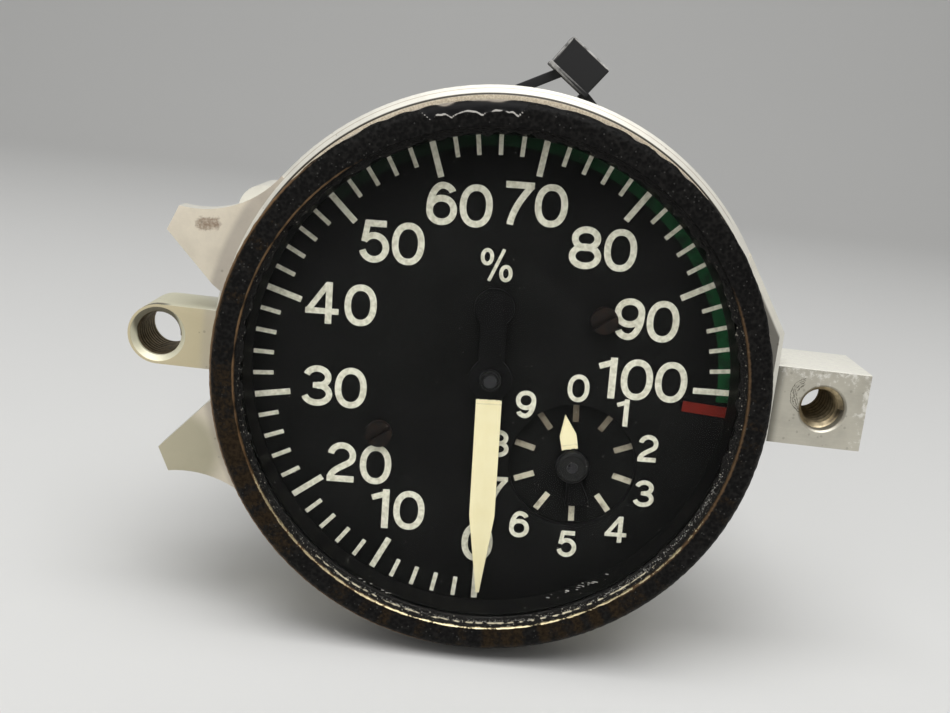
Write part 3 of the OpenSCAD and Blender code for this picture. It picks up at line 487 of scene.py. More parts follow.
class Value:
    """The output of a shader node: a value, a colour or a place. Each sum on it is one more node."""

    def __init__(self, socket):
        self.socket = socket
        self.tree = socket.id_data

    def sum(self, operation, first, second=0.0, third=0.5):
        inputs = {0: first, 1: second, 2: third}
        return Value(put(self.tree, "ShaderNodeMath", inputs, operation=operation).outputs[0])

    def __add__(self, other):
        return self.sum("ADD", self, other)

    def __sub__(self, other):
        return self.sum("SUBTRACT", self, other)

    def __rsub__(self, other):
        return self.sum("SUBTRACT", other, self)

    def __mul__(self, other):
        return self.sum("MULTIPLY", self, other)

    def __lt__(self, other):
        return self.sum("LESS_THAN", self, other)

    def __gt__(self, other):
        return self.sum("GREATER_THAN", self, other)

    def peak(self, other):
        """The greater of two values."""
        return self.sum("MAXIMUM", self, other)

    def near(self, other, reach):
        """1 where the value is within reach of another, else 0."""
        return self.sum("COMPARE", self, other, reach)

    def fade(self, low, high):
        """0 at low and before it, 1 at high and past it, smooth between."""
        inputs = {"Value": self, "From Min": low, "From Max": high}
        node = put(self.tree, "ShaderNodeMapRange", inputs, interpolation_type="SMOOTHSTEP")
        return Value(node.outputs[0])

    def blend(self, first, second, way="MIX"):
        """The first colour where this value is 0 and the second where it is 1."""
        inputs = {0: self, 6: rgb(first), 7: rgb(second)}
        return Value(put(self.tree, "ShaderNodeMix", inputs, data_type="RGBA", blend_type=way).outputs[2])

    def between(self, first, second):
        """The first value where this value is 0 and the second where it is 1."""
        return Value(put(self.tree, "ShaderNodeMix", {0: self, 2: first, 3: second}).outputs[0])

    def vector(self, operation, other=(0.0, 0.0, 0.0), output=0):
        """One sum on two places; output 1 is the one that gives a plain value."""
        node = put(self.tree, "ShaderNodeVectorMath", {0: self, 1: other}, operation=operation)
        return Value(node.outputs[output])

    def split(self):
        """The three parts of a place: right, away from the viewer, up."""
        return [Value(part) for part in put(self.tree, "ShaderNodeSeparateXYZ", {0: self}).outputs]

    def radius(self, middle=0.0):
        """Distance from an axis that points at the viewer, so many millimetres to the right."""
        right, _, up = self.split()
        flat = put(self.tree, "ShaderNodeCombineXYZ", {0: right - middle * MM, 1: up})
        return Value(flat.outputs[0]).vector("LENGTH", output=1)

    def distance(self, place):
        """Distance from a place in drawing millimetres."""
        return self.vector("DISTANCE", tuple(to_row(place)), 1)

    def spot(self, place, radius, soft):
        """1 inside a ball about a place in drawing millimetres, 0 past its soft edge."""
        return self.distance(place).fade((radius + soft) * MM, radius * MM)

    def noise(self, scale, detail=4.0, rough=0.6):
        """Cloudy noise; a scale of 1000 gives patches about a millimetre wide."""
        inputs = {"Vector": self, "Scale": scale, "Detail": detail, "Roughness": rough}
        return Value(put(self.tree, "ShaderNodeTexNoise", inputs).outputs[0])

    def effect(self, name, **inputs):
        """A shared effect at this place, with its own values."""
        group = bpy.data.node_groups[name]
        node = put(self.tree, "ShaderNodeGroup", {"Vector": self, **inputs}, node_tree=group)
        return Value(node.outputs[0])


class Finish:
    """A material with one shader, and the piece's own coordinates."""

    def __init__(self, name, rough=0.5, metal=0.0, shine=0.5):
        self.material = bpy.data.materials.new(name)
        self.material.use_nodes = True
        self.tree = self.material.node_tree
        self.tree.nodes.clear()
        inputs = {"Roughness": rough, "Metallic": metal, "Specular IOR Level": shine}
        self.shader = put(self.tree, "ShaderNodeBsdfPrincipled", inputs)
        self.output = put(self.tree, "ShaderNodeOutputMaterial", {"Surface": Value(self.shader.outputs[0])})
        self.where = Value(put(self.tree, "ShaderNodeTexCoord").outputs["Object"])

    def mark(self, name):
        """A value that the piece's mesh carries."""
        return Value(put(self.tree, "ShaderNodeAttribute", attribute_name=name).outputs["Fac"])

    def dress(self, colour=None, rough=None, metal=None, bump=None):
        """Links what is given to the shader; a bump is a height, a strength and a depth in millimetres."""
        for socket, value in (("Base Color", colour), ("Roughness", rough), ("Metallic", metal)):
            if value is not None:
                self.tree.links.new(value.socket, self.shader.inputs[socket])
        if bump is not None:
            height, strength, depth = bump
            inputs = {"Height": height, "Strength": strength, "Distance": depth * MM}
            bent = put(self.tree, "ShaderNodeBump", inputs).outputs[0]
            self.tree.links.new(bent, self.shader.inputs["Normal"])
        return self.material


def patches(where, scale, low, high):
    """Cloudy patches with soft edges."""
    return where.noise(scale, 6.0).fade(low, high)


def specks(where, scale, size, amount):
    """Round specks in a few of many cells, each with a size of its own."""
    cell = put(where.tree, "ShaderNodeTexVoronoi", {"Vector": where, "Scale": scale})
    chance = put(where.tree, "ShaderNodeSeparateColor", {0: Value(cell.outputs["Color"])})
    inside = Value(cell.outputs["Distance"]) < Value(chance.outputs[1]) * size
    return (Value(chance.outputs[0]) < amount) * inside


def scratches(where, stretch, width):
    """Thin lines drawn out along the way that is stretched least."""
    cloud = where.vector("MULTIPLY", stretch).noise(1.0, 3.0, 0.5)
    return where.sum("ABSOLUTE", cloud - 0.5) < width


def crinkle(where, scale):
    """The height of crinkled paint."""
    inputs = {"Vector": where, "Scale": scale}
    cell = put(where.tree, "ShaderNodeTexVoronoi", inputs, feature="SMOOTH_F1")
    return where.noise(scale, 4.0, 0.65) + Value(cell.outputs["Distance"])


EFFECTS = {
    "Patches": (patches, {"Scale": 300.0, "Low": 0.45, "High": 0.6}),
    "Specks": (specks, {"Scale": 3000.0, "Size": 0.25, "Amount": 0.1}),
    "Scratches": (scratches, {"Stretch": (40.0, 400.0, 1200.0), "Width": 0.012}),
    "Crinkle": (crinkle, {"Scale": 2500.0}),
}


def make_groups():
    """The effects that finishes share: shader groups with a place, a few settings and one output."""
    for name, (build, settings) in EFFECTS.items():
        tree = bpy.data.node_groups.new(name, "ShaderNodeTree")
        tree.interface.new_socket("Vector", in_out="INPUT", socket_type="NodeSocketVector")
        for label, value in settings.items():
            kind = "NodeSocketFloat" if isinstance(value, float) else "NodeSocketVector"
            tree.interface.new_socket(label, in_out="INPUT", socket_type=kind).default_value = value
        tree.interface.new_socket("Mask", in_out="OUTPUT", socket_type="NodeSocketFloat")
        given, result = tree.nodes.new("NodeGroupInput"), tree.nodes.new("NodeGroupOutput")
        mask = build(*(Value(given.outputs[label]) for label in ("Vector", *settings)))
        tree.links.new(mask.socket, result.inputs["Mask"])


def bezel_finish(colours):
    """Thick crinkled black paint, worn to dark bronze and bright brass where the mesh says so, with painted
    highlights along the broken paint edges round the chips and painted light and shade on its crinkle."""
    finish = Finish("bezel_paint", shine=0.1)
    where = finish.where
    paint, worn = np.array(colours.bezel), np.array(colours.bronze)
    rough_edge = where.noise(2600.0, 5.0, 0.65)
    fine = where.noise(9000.0, 3.0)
    wrinkle = where.effect("Crinkle", Scale=3200.0)
    grey = where.effect("Specks", Scale=5200.0, Size=0.42, Amount=0.09)
    stir = (rough_edge - 0.5) * 1.3
    copper, line = finish.mark("copper"), finish.mark("line")
    bronze = (finish.mark("bronze") + stir).fade(0.3, 0.85)
    brass = (finish.mark("brass") + stir).fade(0.45, 0.6)
    chip = finish.mark("chip").fade(0.4, 0.6)
    rim = (finish.mark("rim") + stir * 0.5).fade(0.45, 0.7)
    line = (line + stir * 0.5).fade(0.2, 0.5) * line
    # painted highlight and shade: the crinkle's peaks are painted lighter and its hollows darker
    tone = wrinkle.fade(0.7, 1.35).blend(paint * 0.35, paint * 2.0)
    tone = (grey * 0.4).blend(tone, (0.1, 0.098, 0.092))
    tone = chip.blend(tone, copper.blend((0.006, 0.006, 0.0065), (0.8, 0.7, 0.58)))
    tone = bronze.blend(tone, rough_edge.fade(0.35, 0.65).blend(worn * 0.45, worn))
    # painted highlight along the broken paint edges round the chips
    tone = rim.blend(tone, (0.42, 0.4, 0.37))
    tone = line.blend(tone, (0.2, 0.12, 0.06))
    tone = brass.blend(tone, colours.brass)
    bare = (bronze * 0.7).peak(brass).peak(chip * copper)
    painted = 1.0 - bare.peak(chip * 0.8)
    rough = bare.between(fine.between(0.38, 0.62), 0.36)
    return finish.dress(tone, rough, bare, (wrinkle * painted + fine * 0.12, 0.55, 0.1))


def sealant_finish():
    """Crumbly black sealant with pale dust in it, most where the mesh says, and painted glints where its
    gleam mark stands.
    """
    finish = Finish("sealant", 0.55, shine=0.12)
    where = finish.where
    lumps = where.noise(3500.0, 5.0, 0.7)
    uneven = lumps - 0.5
    dust = finish.mark("dust")
    film = where.effect("Patches", Scale=7000.0, Low=0.52, High=0.68) * (dust * 0.35)
    pale = where.effect("Specks", Scale=8000.0, Size=0.62, Amount=0.1) * (dust + uneven).fade(0.3, 0.9)
    # painted glints: a pale gold where the gleam mark stands, in place of light caught by the crumbs
    gold = (finish.mark("gleam") + uneven).fade(0.4, 0.75)
    tone = lumps.blend((0.003, 0.003, 0.003), (0.014, 0.013, 0.012))
    tone = film.blend(tone, (0.14, 0.135, 0.12))
    tone = pale.blend(tone, (0.32, 0.3, 0.25))
    tone = gold.blend(tone, (0.66, 0.6, 0.44))
    return finish.dress(tone, lumps.between(0.35, 0.75), None, (lumps, 0.9, 0.15))


def coated(name, colour, second, rough, scale=900.0, dust=0.03, bump=0.25, depth=0.04, shine=0.5):
    """A painted or moulded finish: two close tones in patches, a little dust and a fine grain."""
    finish = Finish(name, shine=shine)
    where = finish.where
    grain = where.noise(scale * 9, 3.0)
    dusty = where.effect("Specks", Scale=scale * 2.2, Size=0.3, Amount=dust)
    tone = where.effect("Patches", Scale=scale, Low=0.35, High=0.7).blend(colour, second)
    tone = (dusty * 0.6).blend(tone, np.array([0.28, 0.27, 0.25]) + 0.5 * np.array(colour))
    return finish.dress(tone, grain.between(rough - 0.1, rough + 0.12), None, (grain, bump, depth))


def bare_metal(name, colour, dark, rough, stretch, metal, wear, scale):
    """A metal finish: two tones in patches, fine scratches along the stretch and a satin grain."""
    finish = Finish(name, metal=metal)
    where = finish.where
    lines = where.effect("Scratches", Stretch=stretch, Width=wear)
    grain = where.vector("MULTIPLY", stretch).noise(2.0)
    tone = where.effect("Patches", Scale=scale, Low=0.4, High=0.68).blend(colour, dark)
    tone = (lines * 0.5).blend(tone, np.minimum(np.array(colour) * 1.25, 0.95))
    return finish.dress(tone, grain.between(rough - 0.12, rough + 0.14), None, (grain - lines, 0.3, 0.02))


def thread_finish(name, middle, crest, root, colour, dark):
    """A grimy thread round an axis in its own colour on the crests, with painted shade in its roots deeper
    than about a millimetre into the hole, by distance from the axis.
    """
    finish = Finish(name, 0.36, 0.9)
    where = finish.where
    grime = where.noise(1800.0)
    # painted shade: the roots darken by distance from the axis, from about a millimetre behind the front
    sunk = where.radius(middle).fade(crest * MM, root * MM) * where.split()[1].fade(1.0 * MM, 1.5 * MM)
    tone = grime.fade(0.35, 0.7).blend(colour, np.array(colour) * 0.6)
    return finish.dress(sunk.blend(tone, dark), bump=(grime, 0.2, 0.03))


def flange_finish(name, colour, yellow, edge):
    """Dull cast aluminium with a pale chromate tint on the left lug, brown stains and fine pits. The cone in
    front has a painted shadow along its seam and a tan step next to the bezel; the pad, the fillet band and
    the lug's chamfer carry painted shade."""
    finish = Finish(name, metal=0.45 + edge)
    where = finish.where
    right, away, _ = where.split()
    radius = where.radius()
    patch = where.effect("Patches", Scale=420.0, Low=0.38, High=0.72)
    pits = where.effect("Specks", Scale=2300.0, Size=0.3, Amount=0.12)
    cast = where.noise(5200.0)
    lug = where.spot((-HOLE_X, 0, -2), 4.6, 3.0)
    smear = where.spot((-28.2, 10.95, 0), 0.3, 1.0)
    for place in ((-27.7, 11.0, 0), (-27.1, 11.1, 0)):
        smear = smear.peak(where.spot(place, 0.3, 1.0))
    face = away.near(0.0, 0.03 * MM)
    left_face = face * (right < 20.0 * MM)
    fillet_shade = 1.0 - radius.fade(27.2 * MM, 28.0 * MM)
    cone = (1.0 - radius.fade(25.84 * MM, 25.94 * MM)) * (away < 0.32 * MM)
    step = 1.0 - radius.fade(25.68 * MM, 25.72 * MM)
    slant = where.vector("DOT_PRODUCT", PAD_SLANT, 1)
    pad_shade = face * (right > 20.0 * MM) * (right < 26.6 * MM) * (1.0 - slant.fade(25.9 * MM, 26.15 * MM))
    # painted shade: the upper half of the lug's chamfer, which faces down, is darkened as if in shade
    sunk = (away > 0.04 * MM) * (away < 0.9 * MM) * where.spot((-HOLE_X - 0.3, 1.0, -0.3), 1.9, 0.5)
    stain = (smear * 0.5 + where.noise(2600.0, 4.0, 0.65) * 0.7).fade(0.62, 0.95)
    low_fin = where.spot((-29.6, -11.5, 0), 3.4, 2.0) * face
    tone = patch.blend(colour, np.array(colour) * 0.9)
    tone = (lug * 0.8).blend(tone, yellow)
    # painted shade: the fillet band round the ring is painted greyer for its slope; the rest of the left
    # front faces only get a dull tint
    face_tint_and_shade = fillet_shade.blend(lug.blend((0.99, 0.92, 0.83), (0.77, 0.7, 0.6)), (0.7, 0.645, 0.6))
    tone = left_face.blend(tone, face_tint_and_shade, "MULTIPLY")
    # painted shade over the upper half of the lug's chamfer
    tone = (sunk * 0.8).blend(tone, (0.07, 0.055, 0.035))
    tone = (stain * 0.85).blend(tone, (0.24, 0.155, 0.1))
    tone = (low_fin * 0.7).blend(tone, (0.373, 0.349, 0.224))
    tone = (pits * 0.4).blend(tone, (0.24, 0.21, 0.16))
    # painted shadow in the seam between the cone and the bezel, and painted shade on the pad's face beside
    # the bezel
    tone = (cone * (1.0 - step)).peak(pad_shade * 0.8).blend(tone, (0.045, 0.038, 0.028))
    tone = (cone * step).blend(tone, cast.fade(0.35, 0.65).blend((0.55, 0.48, 0.37), (0.76, 0.7, 0.57)))
    return finish.dress(tone, cast.between(0.42 - edge, 0.62 - edge), None, (cast - pits * 0.8, 0.28, 0.05))


def block_finish(colour):
    """Sawn and milled bare aluminium: straight mill lines, corroded pale spots along the top and the outer
    edge, and the arcs that a tool scored beside the hole, with a painted highlight on the top face and
    painted shade beside the bezel."""
    finish = Finish("lug_block_metal")
    where = finish.where
    colour = np.array(colour)
    right, _, up = where.split()
    lines = where.vector("MULTIPLY", (500.0, 1500.0, 6000.0)).noise(1.0, 3.0)
    patch = where.effect("Patches", Scale=380.0, Low=0.38, High=0.7)
    blotch = where.noise(1500.0, 5.0, 0.7)
    pits = where.effect("Specks", Scale=3400.0, Size=0.45, Amount=0.2)
    margin = up.fade(1.2 * MM, 3.9 * MM).peak(right.fade(34.2 * MM, 36.2 * MM))
    rot = (blotch + margin * 0.18).fade(0.63, 0.75)
    lit_top = up > 3.68 * MM
    shade = (1.0 - right.fade(27.0 * MM, 28.0 * MM)) * (1.0 - lit_top)
    reach = where.distance((30.3, 1.1, 0)) + (blotch - 0.5) * (0.7 * MM)
    scored = reach.near(1.2 * MM, 0.045 * MM)
    for size in (1.42, 1.58, 1.78):
        scored = scored.peak(reach.near(size * MM, 0.045 * MM))
    scored = scored * (right < 29.75 * MM) * blotch.fade(0.36, 0.5)
    tone = patch.blend(colour, colour * 0.86)
    tone = (lines * 0.35).blend(tone, colour * 0.7)
    tone = (pits * 0.4).blend(tone, (0.27, 0.25, 0.2))
    # painted highlight: the top face is painted near white and less metallic, as if lit from above
    tone = (lit_top * 0.85).blend(tone, (0.95, 0.94, 0.85))
    tone = (rot * 0.75).blend(tone, (0.8, 0.78, 0.72))
    tone = (shade * 0.7).blend(tone, (0.07, 0.065, 0.05))
    tone = (scored * 0.75).blend(tone, (0.1, 0.09, 0.07))
    metal = rot.peak(lit_top * 0.9).between(0.75, 0.2)
    return finish.dress(tone, lines.peak(rot).between(0.3, 0.56), metal, (lines - scored, 0.22, 0.05))


def glass_finish(tint):
    """Coated cover glass with faint smears; lamps shine through it without being bent."""
    finish = Finish("cover_glass")
    shader, tree = finish.shader, finish.tree
    shader.inputs["Base Color"].default_value = rgb(tint)
    shader.inputs["Transmission Weight"].default_value = 1.0
    shader.inputs["IOR"].default_value = 1.1
    clear = put(tree, "ShaderNodeBsdfTransparent", {"Color": rgb(tint)})
    shadow = put(tree, "ShaderNodeLightPath").outputs["Is Shadow Ray"]
    sockets = (shadow, shader.outputs[0], clear.outputs[0])
    both = put(tree, "ShaderNodeMixShader", {k: Value(socket) for k, socket in enumerate(sockets)})
    tree.links.new(both.outputs[0], finish.output.inputs["Surface"])
    return finish.dress(rough=finish.where.noise(120.0).fade(0.45, 0.8).between(0.0, 0.01))


def pointer_finish(name, cream, middle, start, turn):
    """Cream paint on the blade and black on the rest. The blade's paint starts at a distance from the axis
    at the turn given, with a ragged edge and small black nicks."""
    finish = Finish(name, shine=0.06)
    where = finish.where
    ragged = where.noise(5200.0)
    arm = where.vector("SUBTRACT", tuple(to_row((*middle, 0))))
    along = arm.vector("DOT_PRODUCT", tuple(to_row((*polar(1.0, turn), 0)) / MM), 1)
    reach = along + (ragged - 0.5) * (0.35 * MM)
    painted = reach.fade((start - 0.02) * MM, (start + 0.02) * MM)
    line = reach.near((start + 0.42) * MM, 0.05 * MM)
    nicks = where.effect("Specks", Scale=900.0, Size=0.13, Amount=0.12)
    age = where.effect("Patches", Scale=330.0, Low=0.4, High=0.75)
    tone = age.blend(cream, np.array(cream) * np.array([0.95, 0.93, 0.86]))
    tone = (line * (ragged * 0.5)).blend(tone, (0.3, 0.27, 0.18))
    tone = nicks.blend(tone, (0.12, 0.1, 0.07))
    tone = painted.blend((0.003, 0.003, 0.003), tone)
    rough = painted.between(ragged.between(0.32, 0.5), 0.62)
    return finish.dress(tone, rough, None, (painted * 0.6 + ragged * 0.2, 0.3, 0.05))


def faded_finish(name, faint, colour):
    """Two colours mixed by the mesh's clear value and a cloudy noise: the value is painted light and shade,
    the first colour where it is low and the second where it is high.
    """
    finish = Finish(name, 0.6, shine=0.1)
    cloud = finish.where.noise(1300.0)
    strength = finish.mark("clear") * cloud.fade(0.2, 0.6)
    return finish.dress(strength.blend(faint, colour), bump=(cloud, 0.2, 0.02))


def floor_finish(colour):
    """Plain pale floor with a barely seen unevenness."""
    finish = Finish("floor", 0.75, shine=0.2)
    return finish.dress(finish.where.noise(6.0, 3.0, 0.5).blend(np.array(colour) * 0.985, colour))


# Finish: material, colour, second tone, roughness, scale, dust, bump, depth of the bump, shine
COATS = {
    "spacer": ("spacer_black", (0.003, 0.003, 0.003), (0.007, 0.007, 0.006), 0.42, 1400.0, 0.03, 0.25,
               0.04, 0.08),
    "gasket": ("gasket_rubber", (0.015, 0.014, 0.013), (0.025, 0.024, 0.022), 0.7, 1200.0, 0.05),
    "red": ("print_red", (0.15, 0.012, 0.007), (0.11, 0.01, 0.006), 0.6, 1200.0, 0.0, 0.4, 0.03, 0.1),
    "hub": ("hub_black", (0.006, 0.006, 0.006), (0.012, 0.012, 0.011), 0.3, 2200.0, 0.03, 0.2, 0.03, 0.14),
    "dial_screw": ("dial_screw_black", (0.005, 0.005, 0.005), (0.02, 0.012, 0.008), 0.42, 1900.0, 0.04, 0.5,
                   0.05, 0.08),
    "dust": ("dust_grain", (0.5, 0.49, 0.45), (0.34, 0.33, 0.3), 0.8, 2500.0, 0.0),
    "insulator": ("connector_insulator", (0.03, 0.024, 0.018), (0.05, 0.04, 0.03), 0.5),
    "jewel": ("jewel_ruby", (0.4, 0.02, 0.06), (0.26, 0.012, 0.04), 0.15, 1500.0, 0.0, 0.05),
    "lead": ("lead_sleeve", (0.35, 0.03, 0.025), (0.24, 0.02, 0.02), 0.55, 900.0, 0.02),
}

# Finish: material, colour, dark tone, roughness, stretch of the scratches, metal share, wear, scale
ALL_ROUND = (900.0, 900.0, 900.0)
LENGTHWISE = (900.0, 60.0, 900.0)
METALS = {
    "block_edge": ("block_edge", (0.8, 0.79, 0.76), (0.55, 0.54, 0.5), 0.34, (60.0, 1500.0, 1500.0), 0.85,
                   0.02, 1500.0),
    "case": ("case_metal", (0.66, 0.65, 0.6), (0.52, 0.51, 0.46), 0.45, (900.0, 40.0, 900.0), 0.85, 0.01,
             120.0),
    "connector": ("connector_olive", (0.34, 0.33, 0.22), (0.23, 0.22, 0.13), 0.5, (500.0, 500.0, 500.0), 0.75,
                  0.02, 700.0),
    "contact": ("contact_gold", (0.85, 0.62, 0.27), (0.6, 0.42, 0.18), 0.28, (700.0, 700.0, 700.0), 1.0,
                0.01, 900.0),
    "screw": ("screw_steel", (0.55, 0.54, 0.53), (0.32, 0.3, 0.27), 0.36, ALL_ROUND, 0.95, 0.02, 1100.0),
    "brass": ("movement_brass", (0.72, 0.53, 0.24), (0.55, 0.38, 0.16), 0.34, (500.0, 40.0, 500.0), 1.0,
              0.015, 500.0),
    "steel": ("arbor_steel", (0.6, 0.6, 0.61), (0.42, 0.42, 0.43), 0.25, LENGTHWISE, 1.0, 0.01, 900.0),
    "black_steel": ("arbor_black", (0.03, 0.03, 0.032), (0.015, 0.015, 0.016), 0.3, LENGTHWISE, 0.6, 0.01,
                    2500.0),
    "blue_steel": ("spring_blue", (0.12, 0.17, 0.34), (0.08, 0.1, 0.2), 0.28, ALL_ROUND, 1.0, 0.01, 900.0),
    "bright": ("cup_bright", (0.8, 0.8, 0.81), (0.66, 0.66, 0.67), 0.28, LENGTHWISE, 1.0, 0.012, 300.0),
    "iron": ("core_iron", (0.2, 0.2, 0.21), (0.12, 0.12, 0.125), 0.55, (60.0, 2500.0, 60.0), 0.8, 0.02,
             500.0),
    "grey_plate": ("motor_plate", (0.55, 0.55, 0.56), (0.44, 0.44, 0.45), 0.42, (60.0, 900.0, 900.0), 0.9,
                   0.015, 300.0),
    "winding": ("coil_copper", (0.45, 0.17, 0.06), (0.3, 0.1, 0.035), 0.32, (200.0, 3500.0, 200.0), 0.85,
                0.05, 900.0),
}

# Finishes of the CAD nodes that keep their own shape
INNER = {
    "gasket": ["glass_gasket", "connector_gasket"],
    "glass": ["cover_glass"],
    "dial": ["sub_dial"],
    "screw": ["lug_block_screws", "front_plate_screws", "motor_bolts"],
    "brass": ["front_plate", "dial_posts", "front_pillars", "gear_bridge", "rear_pillars", "main_wheel",
              "idler_pinion", "idler_wheel", "sub_pinion", "hairspring_collet", "motor_bushes"],
    "steel": ["idler_arbor", "hairspring_stud", "motor_shaft", "rear_standoffs"],
    "black_steel": ["main_arbor", "sub_arbor"],
    "blue_steel": ["hairspring"],
    "jewel": ["jewels"],
    "bright": ["drag_cup"],
    "iron": ["drag_magnet", "flux_cup", "motor_rotor", "stator_core"],
    "grey_plate": ["motor_front_plate", "motor_rear_plate"],
    "winding": ["stator_coils"],
    "lead": ["lead_wires"],
    "insulator": ["connector_insert"],
    "contact": ["connector_pins"],
}

FINISHES = {}


def make_finishes(colours):
    """All the finishes, by name."""
    make_groups()
    dial, numbers, cream = np.array(colours.dial), np.array(colours.numbers), tuple(colours.pointer)
    flange, lug = np.array(colours.flange), np.array(colours.lug)
    FINISHES.update({key: coated(*row) for key, row in COATS.items()})
    FINISHES.update({key: bare_metal(*row) for key, row in METALS.items()})
    FINISHES.update({
        "bezel": bezel_finish(colours),
        "sealant": sealant_finish(),
        "glass": glass_finish((0.985, 0.99, 0.985)),
        "dial": coated("dial_black", dial, dial * 1.7, 0.6, 260.0, 0.0, 0.01, 0.01, 0.04),
        "numbers": coated("print_cream", numbers, numbers * np.array([0.68, 0.67, 0.62]), 0.7, 2600.0, 0.0,
                          0.4, 0.03, 0.2),
        # the unit marks and the green arc are painted darker where shade falls, the tie paler on its edges as
        # painted highlights
        "unit_marks": faded_finish("print_shaded", (0.1, 0.075, 0.05), (0.62, 0.58, 0.45)),
        "green": faded_finish("print_green", (0.004, 0.006, 0.004), (0.006, 0.06, 0.018)),
        "tie": faded_finish("tie_nylon", (0.028, 0.028, 0.029), (0.5, 0.49, 0.47)),
        "pointer": pointer_finish("main_pointer_paint", cream, (0, 0), 1.88, POINTER_TURN),
        "unit_pointer": pointer_finish("unit_pointer_paint", cream, UNIT_AT, 1.67, UNIT_POINTER_TURN),
        "flange": flange_finish("flange_metal", flange, lug, 0.0),
        "flange_edge": flange_finish("flange_edge", np.minimum(flange * 1.1, 0.95),
                                     np.minimum(lug * 1.1, 0.95), 0.1),
        "block": block_finish(colours.block),
        "insert": thread_finish("insert_steel", HOLE_X, 1.72, 2.0, (0.6, 0.5, 0.33), (0.012, 0.008, 0.005)),
        "thread": thread_finish("tapped_thread", -HOLE_X, 2.02, 2.12, (0.4, 0.32, 0.2),
                                (0.012, 0.009, 0.006)),
    })


# Settings that a user would change


def colour_setting(name, default, description):
    """A colour as linear values."""
    return FloatVectorProperty(name=name, description=description, default=default, min=0, max=1,
                               subtype="COLOR")


def length_setting(name, default, low, high, description):
    """A length in metres."""
    return FloatProperty(name=name, description=description, default=default, min=low, max=high,
                         unit="LENGTH")


def power_setting(name, default, description):
    """A lamp's power in watts."""
    return FloatProperty(name=name, description=description, default=default, min=0, max=50, unit="POWER")


class TachoColours(bpy.types.PropertyGroup):
    """Colours of the finishes, as linear values."""

    bezel: colour_setting("Bezel paint", (0.0056, 0.0052, 0.0048), "Black paint of the bezel")
    bronze: colour_setting("Bronze", (0.034, 0.023, 0.013), "Worn brown metal of the bezel")
    brass: colour_setting("Brass", (0.68, 0.58, 0.36), "Bright metal of the lip's edge")
    dial: colour_setting("Dial", (0.0042, 0.0042, 0.004), "Matt black of the dial")
    numbers: colour_setting("Numbers", (0.74, 0.72, 0.6), "Cream print on the dial")
    pointer: colour_setting("Pointer", (0.86, 0.78, 0.5), "Cream paint of the pointers")
    flange: colour_setting("Flange", (0.82, 0.8, 0.72), "Cast metal of the flange")
    lug: colour_setting("Left lug", (0.82, 0.79, 0.58), "Tint of the left lug")
    block: colour_setting("Right block", (0.62, 0.59, 0.5), "Bare metal of the right block")
    floor: colour_setting("Floor", (0.72, 0.72, 0.71), "Floor and backdrop")


class TachoBezel(bpy.types.PropertyGroup):
    """Sizes of the bezel."""

    edge_round: length_setting("Edge rounding", 0.0009, 0.0002, 0.0012, "Rounding of the outer front edge")
    paint_depth: length_setting("Paint depth", 0.00009, 0, 0.0003,
                                "Thickness of the paint that has chipped off")
    chip_width: length_setting("Chip width", 0.00085, 0, 0.002,
                               "How far the chips come in from the outer edge at the top")
    steps: IntProperty(name="Steps", description="Points round the bezel", default=960, min=90, max=1200)


class TachoPrint(bpy.types.PropertyGroup):
    """Sizes of the marks printed on the dials."""

    number_height: length_setting("Number height", 0.0039, 0.002, 0.006, "Height of the main numbers")
    number_stroke: FloatProperty(name="Number stroke", description="Stroke as a part of the height",
                                 default=0.155, min=0.08, max=0.25, subtype="FACTOR")
    unit_height: length_setting("Unit number height", 0.00262, 0.001, 0.004,
                                "Height of the numbers round the unit dial")
    minor_width: length_setting("Minor tick width", 0.0004, 0.0001, 0.001, "Width of the short ticks")
    major_width: length_setting("Major tick width", 0.00056, 0.0001, 0.001, "Width of the long ticks")
    tick_outer: length_setting("Tick outer radius", 0.0222, 0.015, 0.0224, "Outer end of the ticks")
    minor_inner: length_setting("Minor tick inner radius", 0.0203, 0.015, 0.022,
                                "Inner end of the short ticks")
    major_inner: length_setting("Major tick inner radius", 0.01886, 0.015, 0.022,
                                "Inner end of the long ticks")
    thickness: length_setting("Print thickness", 0.00002, 0.000005, 0.0001, "How far the print stands up")


class TachoStage(bpy.types.PropertyGroup):
    """Camera and lamps."""

    lens: FloatProperty(name="Lens", description="Focal length in millimetres", default=45.78, min=10,
                        max=200)
    key_power: power_setting("Overhead lamp", 4.2, "Power of the lamp over the object")
    fill_power: power_setting("Front lamp", 0.8, "Power of the lamp in front")
    sky: FloatProperty(name="Sky", description="Strength of the even light all round", default=0.25, min=0,
                       max=2)


# Shapes of the larger pieces


def mm(value):
    """A setting in metres, in drawing millimetres."""
    return value / MM


